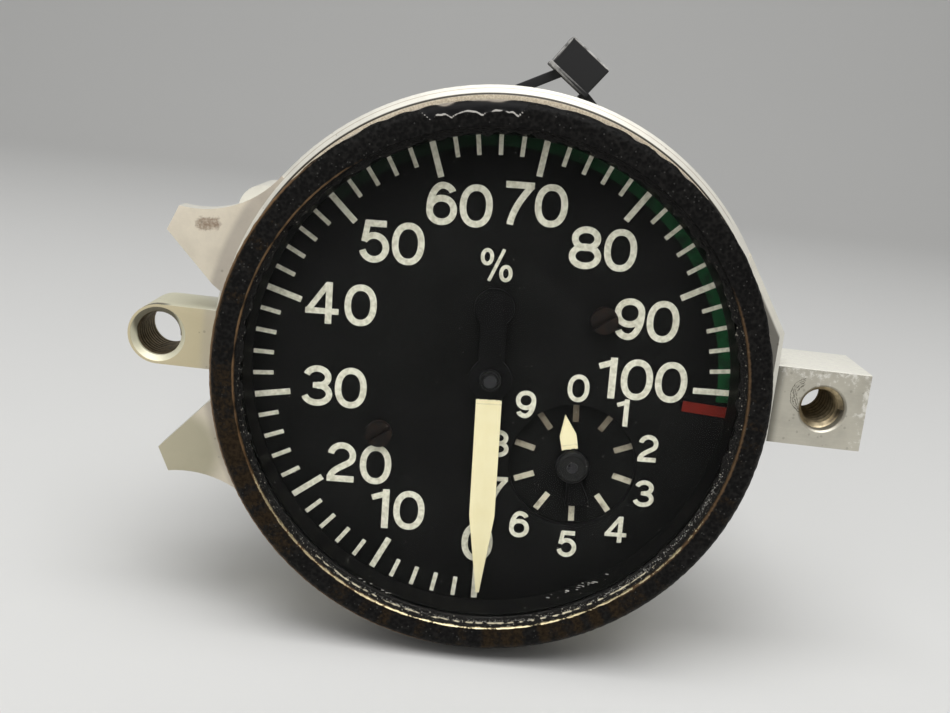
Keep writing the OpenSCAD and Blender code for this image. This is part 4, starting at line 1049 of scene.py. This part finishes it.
def bezel_wear(turn, r, z, chip_width):
    """Where the bezel's paint has chipped or worn, and where painted highlights lie along its broken edges:
    named values for each point at a turn, a radius and a height."""
    degrees = np.degrees(turn)
    front = np.clip((z - BEZEL_FRONT + 1.0) / 0.9, 0, 1)

    top = near_turn(degrees, 8, 56, 24)
    big_chip = near_turn(degrees, CHIP_TURN, 8.5, 3.5)
    arches = np.interp((degrees + 180) % 360 - 180, CHIP_POINTS, CHIP_COUNTS) * np.pi
    waver = 0.7 * ripple(turn, 4, 10, 5, 20) * (1 - big_chip)
    points_in = 1 - np.abs(np.sin(arches + waver))
    ragged = ripple(turn, 3, 40, 60, 240) * 0.06 + 0.22 - 0.36 * points_in
    paint_end = BEZEL_R - chip_width * (0.15 + 1.2 * big_chip) + ragged * (0.4 + 0.6 * big_chip)
    paint_end = np.where(top > 0, paint_end + (1 - top) * 1.6, BEZEL_R + 1)
    gone = 1 / (1 + np.exp(-(r - paint_end) / 0.045))
    wall_end = BEZEL_FRONT - 0.75 + 0.3 * ripple(turn, 9, 30, 6, 70)
    bare_wall = top / (1 + np.exp((z - wall_end) / 0.05)) * (r > BEZEL_R - 0.3)
    # painted highlight: a pale line just inside where the paint ends, as if its broken edge caught the light
    rim = bump_at(r, paint_end - 0.04, 0.06 + 0.05 * big_chip) * front * top
    rim = rim * np.clip(0.35 + 0.5 * big_chip + 0.35 * ripple(turn, 8, 30, 15, 150), 0, 1)

    left = near_turn(degrees, 252, 42, 30)
    low = near_turn(degrees, 160, 60, 40)
    mottle = ripple(turn, 5, 60, 3, 90, z, 8.0) * 0.22
    outer_edge = np.clip((r - (BEZEL_R - 0.75)) / 0.45, 0, 1) * front
    side_wall = (r > BEZEL_R - 0.06).astype(float)
    bronze = np.max([
        outer_edge * np.maximum(left * 0.85, low * 0.5),
        side_wall * np.maximum(left, low * 0.8) * 0.75,
        left * front * (0.2 + mottle),
        low * front * (0.24 + mottle),
        near_turn(degrees, 247, 14, 20) * front * (0.72 + mottle),
        near_turn(degrees, 157, 16, 18) * front * (0.55 + 1.4 * mottle),
    ], 0)
    lip_edge = bump_at(r, LIP_R + 0.07, 0.12) * front * np.clip(0.85 + 0.3 * ripple(turn, 7, 30, 5, 80), 0, 1)
    line = np.max([
        lip_edge * near_turn(degrees, 258, 54, 20),
        bump_at(r, BEZEL_R - 0.12, 0.2) * (z > BEZEL_FRONT - 1.3) * near_turn(degrees, 250, 52, 24),
        bump_at(r, LIP_R + 0.1, 0.24) * front * near_turn(degrees, 104, 34, 20) * 0.5,
    ], 0)
    return {
        "bronze": bronze,
        "brass": lip_edge * near_turn(degrees, 180, 54, 22) * 0.85,
        "line": line,
        "chip": np.maximum(gone * front * (top > 0), bare_wall),
        "rim": rim,
        "copper": np.maximum(1 - near_turn(degrees, CHIP_TURN, 12, 4), bare_wall),
    }


def bezel_shape(sizes):
    """The bezel as a turned ring with its chips and lumps sunk into it, and the values of its wear and of its
    painted highlights.
    """
    wall = BEZEL_R - 1.2
    corners = [(wall, BEZEL_BACK), (BEZEL_R, BEZEL_BACK), (BEZEL_R, BEZEL_FRONT), (LIP_R, BEZEL_FRONT),
               (LIP_R, LIP_BACK), (wall, LIP_BACK)]
    rounding = [0.1, 0.15, mm(sizes.edge_round) * 1.25, 0.3, 0.08, 0.1]
    outline = spread(soft_outline(corners, rounding, 9), 0.08)
    outline = outline[(outline[:, 1] > BEZEL_FRONT - 1.0) | (np.arange(len(outline)) % 5 == 0)]
    points, faces = revolve(outline, sizes.steps)
    p = points.reshape(sizes.steps, len(outline), 3)
    turn = np.linspace(0, 2 * np.pi, sizes.steps, endpoint=False)[:, None] + 0 * p[..., 0]
    r, z = np.hypot(p[..., 0], p[..., 1]), p[..., 2]
    marks = bezel_wear(turn, r, z, mm(sizes.chip_width))
    lumps = ripple(turn, 6, 80, 20, 240, z + r, 12.0)
    sink = 0.02 + 0.012 * (1 + lumps) + mm(sizes.paint_depth) * marks["chip"]
    inwards = turned_inwards(unit(np.gradient(outline, axis=0)), np.array([24.6, 4.0]) - outline)
    out = np.stack([np.sin(turn), np.cos(turn), 0 * turn], -1)
    shift = out * inwards[None, :, :1] + np.array([0, 0, 1.0]) * inwards[None, :, 1:]
    return ((p + shift * sink[..., None]).reshape(-1, 3), faces), marks


def sealant_shape(steps=1100, across=14):
    """The uneven bead of sealant from the lip down to the glass, where it is dusty, and where its painted
    glints go.
    """
    turn = np.linspace(0, 2 * np.pi, steps, endpoint=False)[:, None]
    t = np.linspace(0, 1, across)[None, :]
    degrees = np.degrees(turn)
    grain = ripple(turn + 0 * t, 11, 90, 30, 330, 14.0 * t + 0 * turn)
    wide = 0.5 + 0.16 * ripple(turn, 12, 40, 6, 120) + 0.12 * near_turn(degrees, 120, 50, 40)
    r = LIP_R + 0.12 - (np.clip(wide, 0.18, 0.95) + 0.12) * t
    bead = 0.09 * np.clip(grain, -0.2, 1.6) * np.sin(np.pi * np.clip(t, 0.05, 1)) ** 0.6
    z = np.minimum(GLASS_FRONT + 0.02 + 0.5 * (1 - t) ** 1.6 + bead, BEZEL_FRONT - 0.1)
    upper = np.stack([r * np.sin(turn), r * np.cos(turn), z], -1)
    lower = np.stack([r * np.sin(turn), r * np.cos(turn), 0 * z + GLASS_FRONT + 0.005], -1)[:, ::-1]
    dust = 0.15 + 0.6 * near_turn(degrees, 150, 70, 40) + 0.25 * near_turn(degrees, 262, 36, 30)
    dust = np.clip(dust + 0.35 * t + 0 * turn, 0, 1.2)
    # painted glints along the bottom of the bead
    gleam = bump_at(r, 22.74, 0.08) * near_turn(degrees, 176, 36, 18)
    gleam = gleam * np.clip(0.75 + 0.5 * ripple(turn, 13, 30, 10, 150), 0, 1)
    ring = np.concatenate([upper, lower], 1).reshape(-1, 3)
    marks = {name: np.concatenate([v, v[:, ::-1]], 1) for name, v in (("dust", dust), ("gleam", gleam))}
    return (ring, grid_faces(steps, 2 * across, True, True)), marks


# The dial's scale: its start and steps in degrees, and the radius of its numbers with what it gains above
# and below and loses at the sides
SCALE_START, TICK_STEP, NUMBER_STEP, UNIT_STEP = 180, 5.4, 27, 36
NUMBER_R, NUMBER_STRETCH = 15.6, 0.75
UNIT_NUMBER_R, UNIT_STRETCH = 7.5, 0.2
TICK_CENTRE = np.array([0.05, 0.15])

# How far each number stands from its even place: in degrees, outwards and downwards in millimetres
NUMBER_SHIFTS = (1, 4, -2, 1, 4, 5, 3, 0, -1, 2, -3)
NUMBER_REACHES = {4: 0.7, 10: -0.8}
NUMBER_DROPS = {2: -0.1, 4: 0.1, 5: 0.25, 6: 0, 7: -0.1, 8: 0.33, 9: 0, 10: 0}
UNIT_NUMBER_SHIFTS = (-0.5, 0, -1, -1.5, -3, -1.5, 0.5, -4.5, -4, -4)


def dial_prints(sizes, low, high, unit_centre):
    """The ticks and numbers of the main dial, its percent sign and the numbers round the unit dial."""
    step = np.arange(0, 51)
    major = step % 5 == 0
    inner = np.where(major, mm(sizes.major_inner), mm(sizes.minor_inner))
    width = np.where(major, mm(sizes.major_width), mm(sizes.minor_width))
    turn = SCALE_START + TICK_STEP * step
    parts = [bars(inner, mm(sizes.tick_outer), turn, width, low, high, TICK_CENTRE)]
    for k, shift in enumerate(NUMBER_SHIFTS):
        at = SCALE_START + NUMBER_STEP * k + shift
        radius = NUMBER_R + NUMBER_STRETCH * math.cos(math.radians(2 * at)) + NUMBER_REACHES.get(k, 0)
        nudge = -0.27 if k == 10 else 0.0
        middle = np.array([0.25 + nudge, 0.03 - NUMBER_DROPS.get(k, 0.04)]) + polar(radius, at)
        parts += number_parts(str(10 * k), middle, mm(sizes.number_height), sizes.number_stroke, low, high)
    parts += number_parts("%", np.array([-0.2, 10.5]), 3.1, 0.15, low, high)
    for k, shift in enumerate(UNIT_NUMBER_SHIFTS):
        at = UNIT_STEP * k + shift
        radius = UNIT_NUMBER_R + UNIT_STRETCH * math.cos(math.radians(2 * at)) - (0.55 if k == 1 else 0)
        middle = unit_centre - [0, 0.11] + polar(radius, at)
        parts += number_parts(str(k), middle, mm(sizes.unit_height), 0.165, low, high)
    return parts


def widen_window(mesh, old, new):
    """Moves the edge of the dial's window out to a new radius; the rest of the plate stays."""
    spots = np.empty(3 * len(mesh.vertices), np.float32)
    mesh.vertices.foreach_get("co", spots)
    spots = spots.reshape(-1, 3)
    arm = spots[:, [0, 2]] / MM - UNIT_AT
    away = np.linalg.norm(arm, axis=1, keepdims=True)
    moved = arm * (1 + (new - old) / np.maximum(away, 1e-6))
    spots[:, [0, 2]] = np.where(away < old + 0.2, moved + UNIT_AT, arm + UNIT_AT) * MM
    mesh.vertices.foreach_set("co", spots.ravel())
    mesh.update()


def tie_shape():
    """The nylon tie: a strap round the case with two straight runs up to its head. Its lit value marks the
    painted highlights along two edges of the head's front."""
    middle = 0.5 * sum(depth_of("cable_tie"))
    radius = CASE_R + 0.53
    head_out, head_turn = 6.2, 10.75
    head_at = polar(radius + head_out, head_turn)
    along, across = polar(1.0, 126.0), polar(1.0, 36.0)
    left_end = head_at - 1.0 * along - 1.65 * across
    right_end = head_at + 2.0 * along - 1.7 * across
    touch = [math.degrees(math.acos(radius / np.linalg.norm(end))) for end in (left_end, right_end)]
    left = math.degrees(math.atan2(*left_end)) - touch[0]
    right = math.degrees(math.atan2(*right_end)) + touch[1]
    loop = polar(radius, np.linspace(left, right - 360, 260))
    run_in = np.linspace(left_end, loop[0], 14)[:-1]
    run_out = np.linspace(loop[-1], right_end, 12)[1:]
    line = np.concatenate([run_in, loop, run_out])
    side = turned_inwards(unit(np.gradient(line, axis=0)), line)
    strap = soft_outline([(-0.48, -1.25), (0.48, -1.25), (0.48, -0.85), (0.36, -0.7), (0.36, 0.7),
                          (0.48, 0.85), (0.48, 1.25), (-0.48, 1.25)], 0.16, 4)
    head = soft_outline([(-2.42, -1.78), (2.42, -1.78), (2.5, 1.8), (-2.5, 1.8)], 0.36, 8)
    rim = soft_outline([(-2.54, -1.84), (2.54, -1.84), (2.54, -1.4), (-2.54, -1.4)], 0.16, 6)
    head, rim = (head_at + shape[:, :1] * along + shape[:, 1:] * across for shape in (head, rim))
    points, faces = gather([
        carry_flat(line, middle, strap, side),
        slab(head, middle - 2.05, middle + 2.05, 0.17, 6),
        slab(rim, middle - 2.19, middle + 2.19, 0.07, 5),
    ])
    reach = (points[:, :2] - head_at) @ np.stack([along, across], -1)
    # painted highlight: these edges of the head's front take the pale colour
    lit = (np.abs(reach) < [2.7, 2.0]).all(1) & (points[:, 2] > middle + 1.85)
    lit = lit & ((reach[:, 1] > 1.63) | (reach[:, 0] < -2.32))
    return (points, faces), lit.astype(float)


def connector_shape():
    """The rear plug: a square plate, a tube and the thread round it."""
    low, high = span("connector_shell")
    half, mouth = high[0], low[2]
    plate_face = depth_of("connector_gasket")[0]
    plate_back = plate_face - 2.8
    bore, root, crest, neck = 6.5875, 7.5, 7.93, 7.6
    square = soft_outline([(-half, -half), (half, -half), (half, half), (-half, half)], 0.9, 6)
    tube = [(bore, high[2]), (neck, high[2]), (neck, plate_face - 1), (crest, plate_back + 0.4),
            (crest, plate_back - 0.6), (root, plate_back - 1.0), (root, mouth + 0.5), (root - 0.25, mouth),
            (bore, mouth)]
    thread = [[0.0, -0.46], [crest - root, -0.07], [crest - root, 0.07], [0.0, 0.46]]
    return gather([
        slab(spread(square, 0.5), plate_back, plate_face, 0.3, 4),
        revolve(soft_outline(tube, 0.12, 4), 160),
        helix((0, 0), root - 0.02, plate_back - 1.6, mouth + 0.6, 1.058, thread, 72),
    ])


# Operators: the stage and each piece or group of like pieces


class TACHO_OT_stage(bpy.types.Operator):
    """Make the floor, the lamps, the sky and the camera"""

    bl_idname = "tacho.stage"
    bl_label = "Stage"

    def execute(self, context):
        scene = context.scene
        settings, colours = scene.tacho_stage, scene.tacho_colours
        ground = span("mounting_flange")[0][1]
        near, far, bend, tall, half = -2000, 500, 400, 1600, 1800
        t = np.linspace(0, np.pi / 2, 24)
        back = np.concatenate([np.linspace(near, far, 24), far + bend * np.sin(t), np.full(8, far + bend)])
        wall = np.linspace(bend + 20, tall, 8)
        rise = np.concatenate([np.zeros(24), bend - bend * np.cos(t), wall]) + ground
        x, k = np.meshgrid(np.linspace(-half, half, 13), np.arange(len(back)), indexing="ij")
        points = np.stack([x, rise[k], -back[k]], -1).reshape(-1, 3)
        mesh = new_mesh("floor", (points, grid_faces(13, len(back), False, False)), 60)
        mesh.materials.append(floor_finish(tuple(colours.floor)))
        floor = bpy.data.objects.new("floor", mesh)
        scene.collection.objects.link(floor)

        self.lamp(scene, "overhead_lamp", settings.key_power, 0.6, (0.03, -0.22, 0.58))
        self.lamp(scene, "front_lamp", settings.fill_power, 0.5, (-0.35, -0.55, 0.33))

        world = bpy.data.worlds.new("studio")
        scene.world = world
        world.use_nodes = True
        sky = next(n for n in world.node_tree.nodes if n.type == "BACKGROUND")
        sky.inputs["Color"].default_value = (1.0, 0.995, 0.98, 1)
        sky.inputs["Strength"].default_value = settings.sky

        camera = bpy.data.cameras.new("camera")
        camera.lens = settings.lens
        camera.sensor_width = 36
        camera.sensor_fit = "HORIZONTAL"
        camera.clip_start = 0.005
        eye = bpy.data.objects.new("camera", camera)
        eye.location = (-0.002153, -0.111693, 0.025966)
        eye.rotation_euler = [math.radians(a) for a in (77.4639, -6.3557, 1.1337)]
        scene.collection.objects.link(eye)
        scene.camera = eye
        scene.view_settings.view_transform = "Standard"
        return {"FINISHED"}

    def lamp(self, scene, name, power, size, place):
        """A square soft lamp turned towards the origin."""
        light = bpy.data.lights.new(name, "AREA")
        light.energy = power
        light.size = size
        lamp = bpy.data.objects.new(name, light)
        lamp.location = place
        x, y, z = place
        lamp.rotation_euler = (math.atan2(math.hypot(x, y), z), 0, math.atan2(x, -y))
        scene.collection.objects.link(lamp)


class TACHO_OT_finishes(bpy.types.Operator):
    """Make the finishes and paint the pieces of the movement"""

    bl_idname = "tacho.finishes"
    bl_label = "Finishes"

    def execute(self, context):
        make_finishes(context.scene.tacho_colours)
        for finish, nodes in INNER.items():
            for node in nodes:
                data = frame["nodes"][node].data
                data.materials.clear()
                data.materials.append(FINISHES[finish])
        return {"FINISHED"}


class TACHO_OT_bezel(bpy.types.Operator):
    """Make the worn bezel and the sealant inside its lip"""

    bl_idname = "tacho.bezel"
    bl_label = "Bezel"

    def execute(self, context):
        shape, marks = bezel_shape(context.scene.tacho_bezel)
        link_piece(new_mesh("bezel_ring", shape, 50, marks), "case", ["bezel"], ["bezel"])
        shape, marks = sealant_shape()
        link_piece(new_mesh("lip_sealant", shape, 70, marks), "case", ["sealant"])
        return {"FINISHED"}


class TACHO_OT_dial(bpy.types.Operator):
    """Make the dial, its printed marks, its screws and the ring round it"""

    bl_idname = "tacho.dial"
    bl_label = "Dial"

    def execute(self, context):
        sizes = context.scene.tacho_print
        low, high = DIAL_FACE - 0.005, DIAL_FACE + mm(sizes.thickness)
        mesh = softened_copy("dial_plate", "dial_face", 0.07, 40, 2)
        widen_window(mesh, WINDOW_R, WINDOW_R + 0.54)
        link_piece(mesh, "case", ["dial"], ["dial_plate"])

        unit_centre = turned(UNIT_AT, -DIAL_TURN)
        numbers = gather(dial_prints(sizes, low, high, unit_centre))
        self.print_piece("dial_numbers", numbers, "numbers", "dial")
        marks = bars(3.95, 5.9, 36.0 * np.arange(10) - 2.5, 0.56, UNIT_FACE - 0.005,
                     UNIT_FACE + mm(sizes.thickness), unit_centre + [0.2, 0.18])
        # painted shade: the clear value falls towards the top, so the upper unit marks are painted darker as
        # if shaded by the window's rim
        lit = np.clip(0.6 - (marks[0][:, 1] - unit_centre[1]) / 9, 0.15, 1)
        self.print_piece("unit_marks", marks, "unit_marks", "unit_dial", {"clear": lit})
        green = arc_band(21.1, 22.6, 316.0, 452.5, low, high - 0.008, TICK_CENTRE)
        # painted shade: the arc is painted darker towards its start round the top, as if in the lip's shadow
        away = np.degrees(np.arctan2(green[0][:, 0] - TICK_CENTRE[0], green[0][:, 1] - TICK_CENTRE[1]))
        self.print_piece("green_arc", green, "green", "dial", {"clear": np.clip((away + 30) / 110, 0.12, 1)})
        red = bars(18.1, 22.35, np.array([94.9]), 1.0, low, high + 0.004, TICK_CENTRE)
        self.print_piece("red_mark", red, "red", "dial")

        mesh = softened_copy("dial_screws", "dial_screw_heads", 0.12, 40)
        link_piece(mesh, "case", ["dial_screw"], ["dial_screws"])
        back, face = depth_of("dial_spacer")
        corners = [(22.25, back), (22.97, back), (22.97, face), (22.7, face)]
        outline = spread(soft_outline(corners, [0.02, 0.05, 0.08, 0.1], 5), 0.1)
        mesh = new_mesh("dial_ring", revolve(outline, 360), 40)
        link_piece(mesh, "case", ["spacer"], ["dial_spacer"])
        return {"FINISHED"}

    def print_piece(self, name, shape, finish, slot, marks=None):
        """One printed layer, turned by the small turn that the dial has in its case."""
        points, faces = shape
        link_piece(new_mesh(name, (turned(points, DIAL_TURN), faces), 40, marks), "case", [finish])


class TACHO_OT_pointers(bpy.types.Operator):
    """Make both pointers and their hubs"""

    bl_idname = "tacho.pointers"
    bl_label = "Pointers"

    def execute(self, context):
        mesh = softened_copy("main_pointer", "main_pointer_blade", 0.05, 40, 2)
        link_piece(mesh, "main_pointer", ["pointer"], ["main_pointer"])
        mesh = softened_copy("sub_pointer", "unit_pointer_blade", 0.05, 40, 2)
        link_piece(mesh, "unit_pointer", ["unit_pointer"], ["sub_pointer"])

        back, face = depth_of("pointer_hub")
        neck = POINTER_SEAT - 0.35
        corners = [(0.62, back), (1.0, back), (1.0, neck), (0.8, neck), (0.8, POINTER_SEAT),
                   (1.0, POINTER_SEAT), (1.0, face), (0.86, face), (0.82, face - 0.12), (0.76, face - 0.12),
                   (0.72, face - 0.02), (0.62, face - 0.02)]
        rounding = [0.02, 0.05, 0.03, 0.02, 0.02, 0.02, 0.16, 0.03, 0.03, 0.03, 0.03, 0.02]
        mesh = new_mesh("pointer_bush", revolve(soft_outline(corners, rounding, 5), 96), 40)
        link_piece(mesh, "main_pointer", ["hub"], ["pointer_hub"])

        back, face = depth_of("sub_hub")
        corners = [(0.52, back), (1.55, back), (1.55, face - 0.12), (1.2, face), (1.12, face - 0.06),
                   (0.52, face - 0.04)]
        outline = soft_outline(corners, [0.02, 0.06, 0.2, 0.08, 0.08, 0.03], 5)
        mesh = new_mesh("unit_pointer_cap", revolve(outline, 96, UNIT_AT), 40)
        link_piece(mesh, "unit_pointer", ["hub"], ["sub_hub"])
        return {"FINISHED"}


class TACHO_OT_dust(bpy.types.Operator):
    """Scatter dust on the glass and crumbs along its edge"""

    bl_idname = "tacho.dust"
    bl_label = "Dust"

    def execute(self, context):
        rng = np.random.default_rng(21)
        n = 130
        place = polar(21.8 * np.sqrt(rng.uniform(0.02, 1, n)), rng.uniform(0, 360, n))
        size = rng.uniform(0.03, 0.09, (n, 3)) * np.array([1.0, 1.0, 0.4])
        parts = [self.grains(place, size[:, 2:] * 0.5, size, 22)]

        n = 260
        turn = np.where(rng.uniform(0, 1, n) < 0.75, rng.normal(150, 32, n), rng.normal(255, 30, n))
        place = polar(22.9 - np.abs(rng.normal(0, 0.34, n)), turn)
        size = rng.uniform(0.02, 0.085, (n, 3)) * np.array([1.0, 1.0, 0.7])
        parts.append(self.grains(place, 0.05 + rng.uniform(0, 0.2, (n, 1)), size, 23))

        low, left = 18, 8
        turn = np.concatenate([rng.uniform(141, 159, low), rng.uniform(196, 207, left)])
        place = polar(np.concatenate([rng.normal(20.9, 0.12, low), rng.normal(22.0, 0.06, left)]), turn)
        n = low + left
        size = np.stack([rng.uniform(0.2, 0.5, n), rng.uniform(0.05, 0.13, n), np.full(n, 0.02)], -1)
        parts.append(self.grains(place, np.full((n, 1), 0.012), size, 24))

        # pale grains along the bottom of the lip: partly dust, partly painted glints where the lip's edge
        # catches the light
        n = 520
        place = polar(rng.normal(22.66, 0.07, n), rng.normal(174, 20, n))
        size = rng.uniform(0.03, 0.09, (n, 3))
        parts.append(self.grains(place, 0.08 + rng.uniform(0, 0.08, (n, 1)), size, 25))

        n = 240
        place = polar(rng.normal(22.6, 0.13, n), rng.uniform(104, 146, n))
        size = rng.uniform(0.03, 0.11, (n, 3))
        parts.append(self.grains(place, 0.1 + rng.uniform(0, 0.12, (n, 1)), size, 26))
        link_piece(new_mesh("glass_dust", gather(parts), 30), "case", ["dust"])
        return {"FINISHED"}

    def grains(self, place, height, size, seed):
        """Crumbs at places on the glass, each so high over it."""
        return crumbs(np.concatenate([place, GLASS_FRONT + height], -1), size, seed)


class TACHO_OT_flange(bpy.types.Operator):
    """Make the cast flange and the thread in its left lug"""

    bl_idname = "tacho.flange"
    bl_label = "Flange"

    def execute(self, context):
        mesh = softened_copy("mounting_flange", "flange_casting", 0.16, 28, 3, 1)
        link_piece(mesh, "case", ["flange", "flange_edge"], ["mounting_flange"])
        ridge = [[-0.005, -0.32], [-0.14, -0.04], [-0.14, 0.04], [-0.005, 0.32]]
        shape = helix((-HOLE_X, 0), 2.15, -0.75, LUG_BACK + 0.4, 0.64, ridge)
        link_piece(new_mesh("lug_thread", shape, 30), "case", ["thread"])
        return {"FINISHED"}


class TACHO_OT_block(bpy.types.Operator):
    """Make the bare right block and the coiled thread insert in it"""

    bl_idname = "tacho.block"
    bl_label = "Right block"

    def execute(self, context):
        mesh = softened_copy("lug_block", "bare_block", 0.11, 28, 3, 1)
        link_piece(mesh, "case", ["block", "block_edge"], ["lug_block"])
        low, high = span("thread_insert")
        outer = 0.5 * (high[0] - low[0])
        wire = [[0.235, -0.39], [0.235, 0.39], [-0.15, 0.07], [-0.2, 0.0], [-0.15, -0.07]]
        shape = helix((HOLE_X, 0), outer - 0.24, high[2] - 0.3, low[2] + 0.3, 0.794, wire, 56)
        link_piece(new_mesh("insert_coil", shape, 25), "case", ["insert"], ["thread_insert"])
        return {"FINISHED"}


class TACHO_OT_tie(bpy.types.Operator):
    """Make the nylon tie round the case"""

    bl_idname = "tacho.tie"
    bl_label = "Cable tie"

    def execute(self, context):
        shape, lit = tie_shape()
        link_piece(new_mesh("nylon_tie", shape, 45, {"clear": lit}), "case", ["tie"], ["cable_tie"])
        return {"FINISHED"}


class TACHO_OT_case(bpy.types.Operator):
    """Make the case and its rear connector"""

    bl_idname = "tacho.case"
    bl_label = "Case and connector"

    def execute(self, context):
        inner, floor, hole = CASE_R - 1.35, CASE_BACK + 2.4, 7.84
        corners = [(inner, CASE_FRONT), (CASE_R, CASE_FRONT), (CASE_R, CASE_BACK), (hole, CASE_BACK),
                   (hole, floor), (inner, floor)]
        outline = soft_outline(corners, [0.1, 0.2, 1.1, 0.1, 0.1, 0.3], 7)
        link_piece(new_mesh("case_shell", revolve(outline, 256), 35), "case", ["case"], ["case_body"])
        for node, name in (("case_screws", "case_back_screws"), ("connector_screws", "connector_fixings")):
            link_piece(softened_copy(node, name, 0.16, 40), "case", ["screw"], [node])
        mesh = new_mesh("connector_body", connector_shape(), 32)
        link_piece(mesh, "case", ["connector"], ["connector_shell"])
        return {"FINISHED"}


class TACHO_PT_panel(bpy.types.Panel):
    """Lists the settings and the steps"""

    bl_label = "Aircraft Tachometer"
    bl_idname = "TACHO_PT_panel"
    bl_space_type = "VIEW_3D"
    bl_region_type = "UI"
    bl_category = "Tachometer"

    def draw(self, context):
        layout = self.layout
        for step in STEPS:
            layout.operator(step.bl_idname)
        scene = context.scene
        for group in (scene.tacho_colours, scene.tacho_bezel, scene.tacho_print, scene.tacho_stage):
            box = layout.box()
            for name in group.__annotations__:
                box.prop(group, name)


STEPS = (TACHO_OT_stage, TACHO_OT_finishes, TACHO_OT_bezel, TACHO_OT_dial, TACHO_OT_pointers, TACHO_OT_dust,
         TACHO_OT_flange, TACHO_OT_block, TACHO_OT_tie, TACHO_OT_case)
CLASSES = (TachoColours, TachoBezel, TachoPrint, TachoStage) + STEPS + (TACHO_PT_panel,)


def register():
    for cls in CLASSES:
        bpy.utils.register_class(cls)
    bpy.types.Scene.tacho_colours = PointerProperty(type=TachoColours)
    bpy.types.Scene.tacho_bezel = PointerProperty(type=TachoBezel)
    bpy.types.Scene.tacho_print = PointerProperty(type=TachoPrint)
    bpy.types.Scene.tacho_stage = PointerProperty(type=TachoStage)


def unregister():
    del bpy.types.Scene.tacho_stage
    del bpy.types.Scene.tacho_print
    del bpy.types.Scene.tacho_bezel
    del bpy.types.Scene.tacho_colours
    for cls in reversed(CLASSES):
        bpy.utils.unregister_class(cls)


def main():
    register()
    bpy.ops.tacho.stage()
    bpy.ops.tacho.finishes()
    bpy.ops.tacho.bezel()
    bpy.ops.tacho.dial()
    bpy.ops.tacho.pointers()
    bpy.ops.tacho.dust()
    bpy.ops.tacho.flange()
    bpy.ops.tacho.block()
    bpy.ops.tacho.tie()
    bpy.ops.tacho.case()


if __name__ == "__main__":
    main()
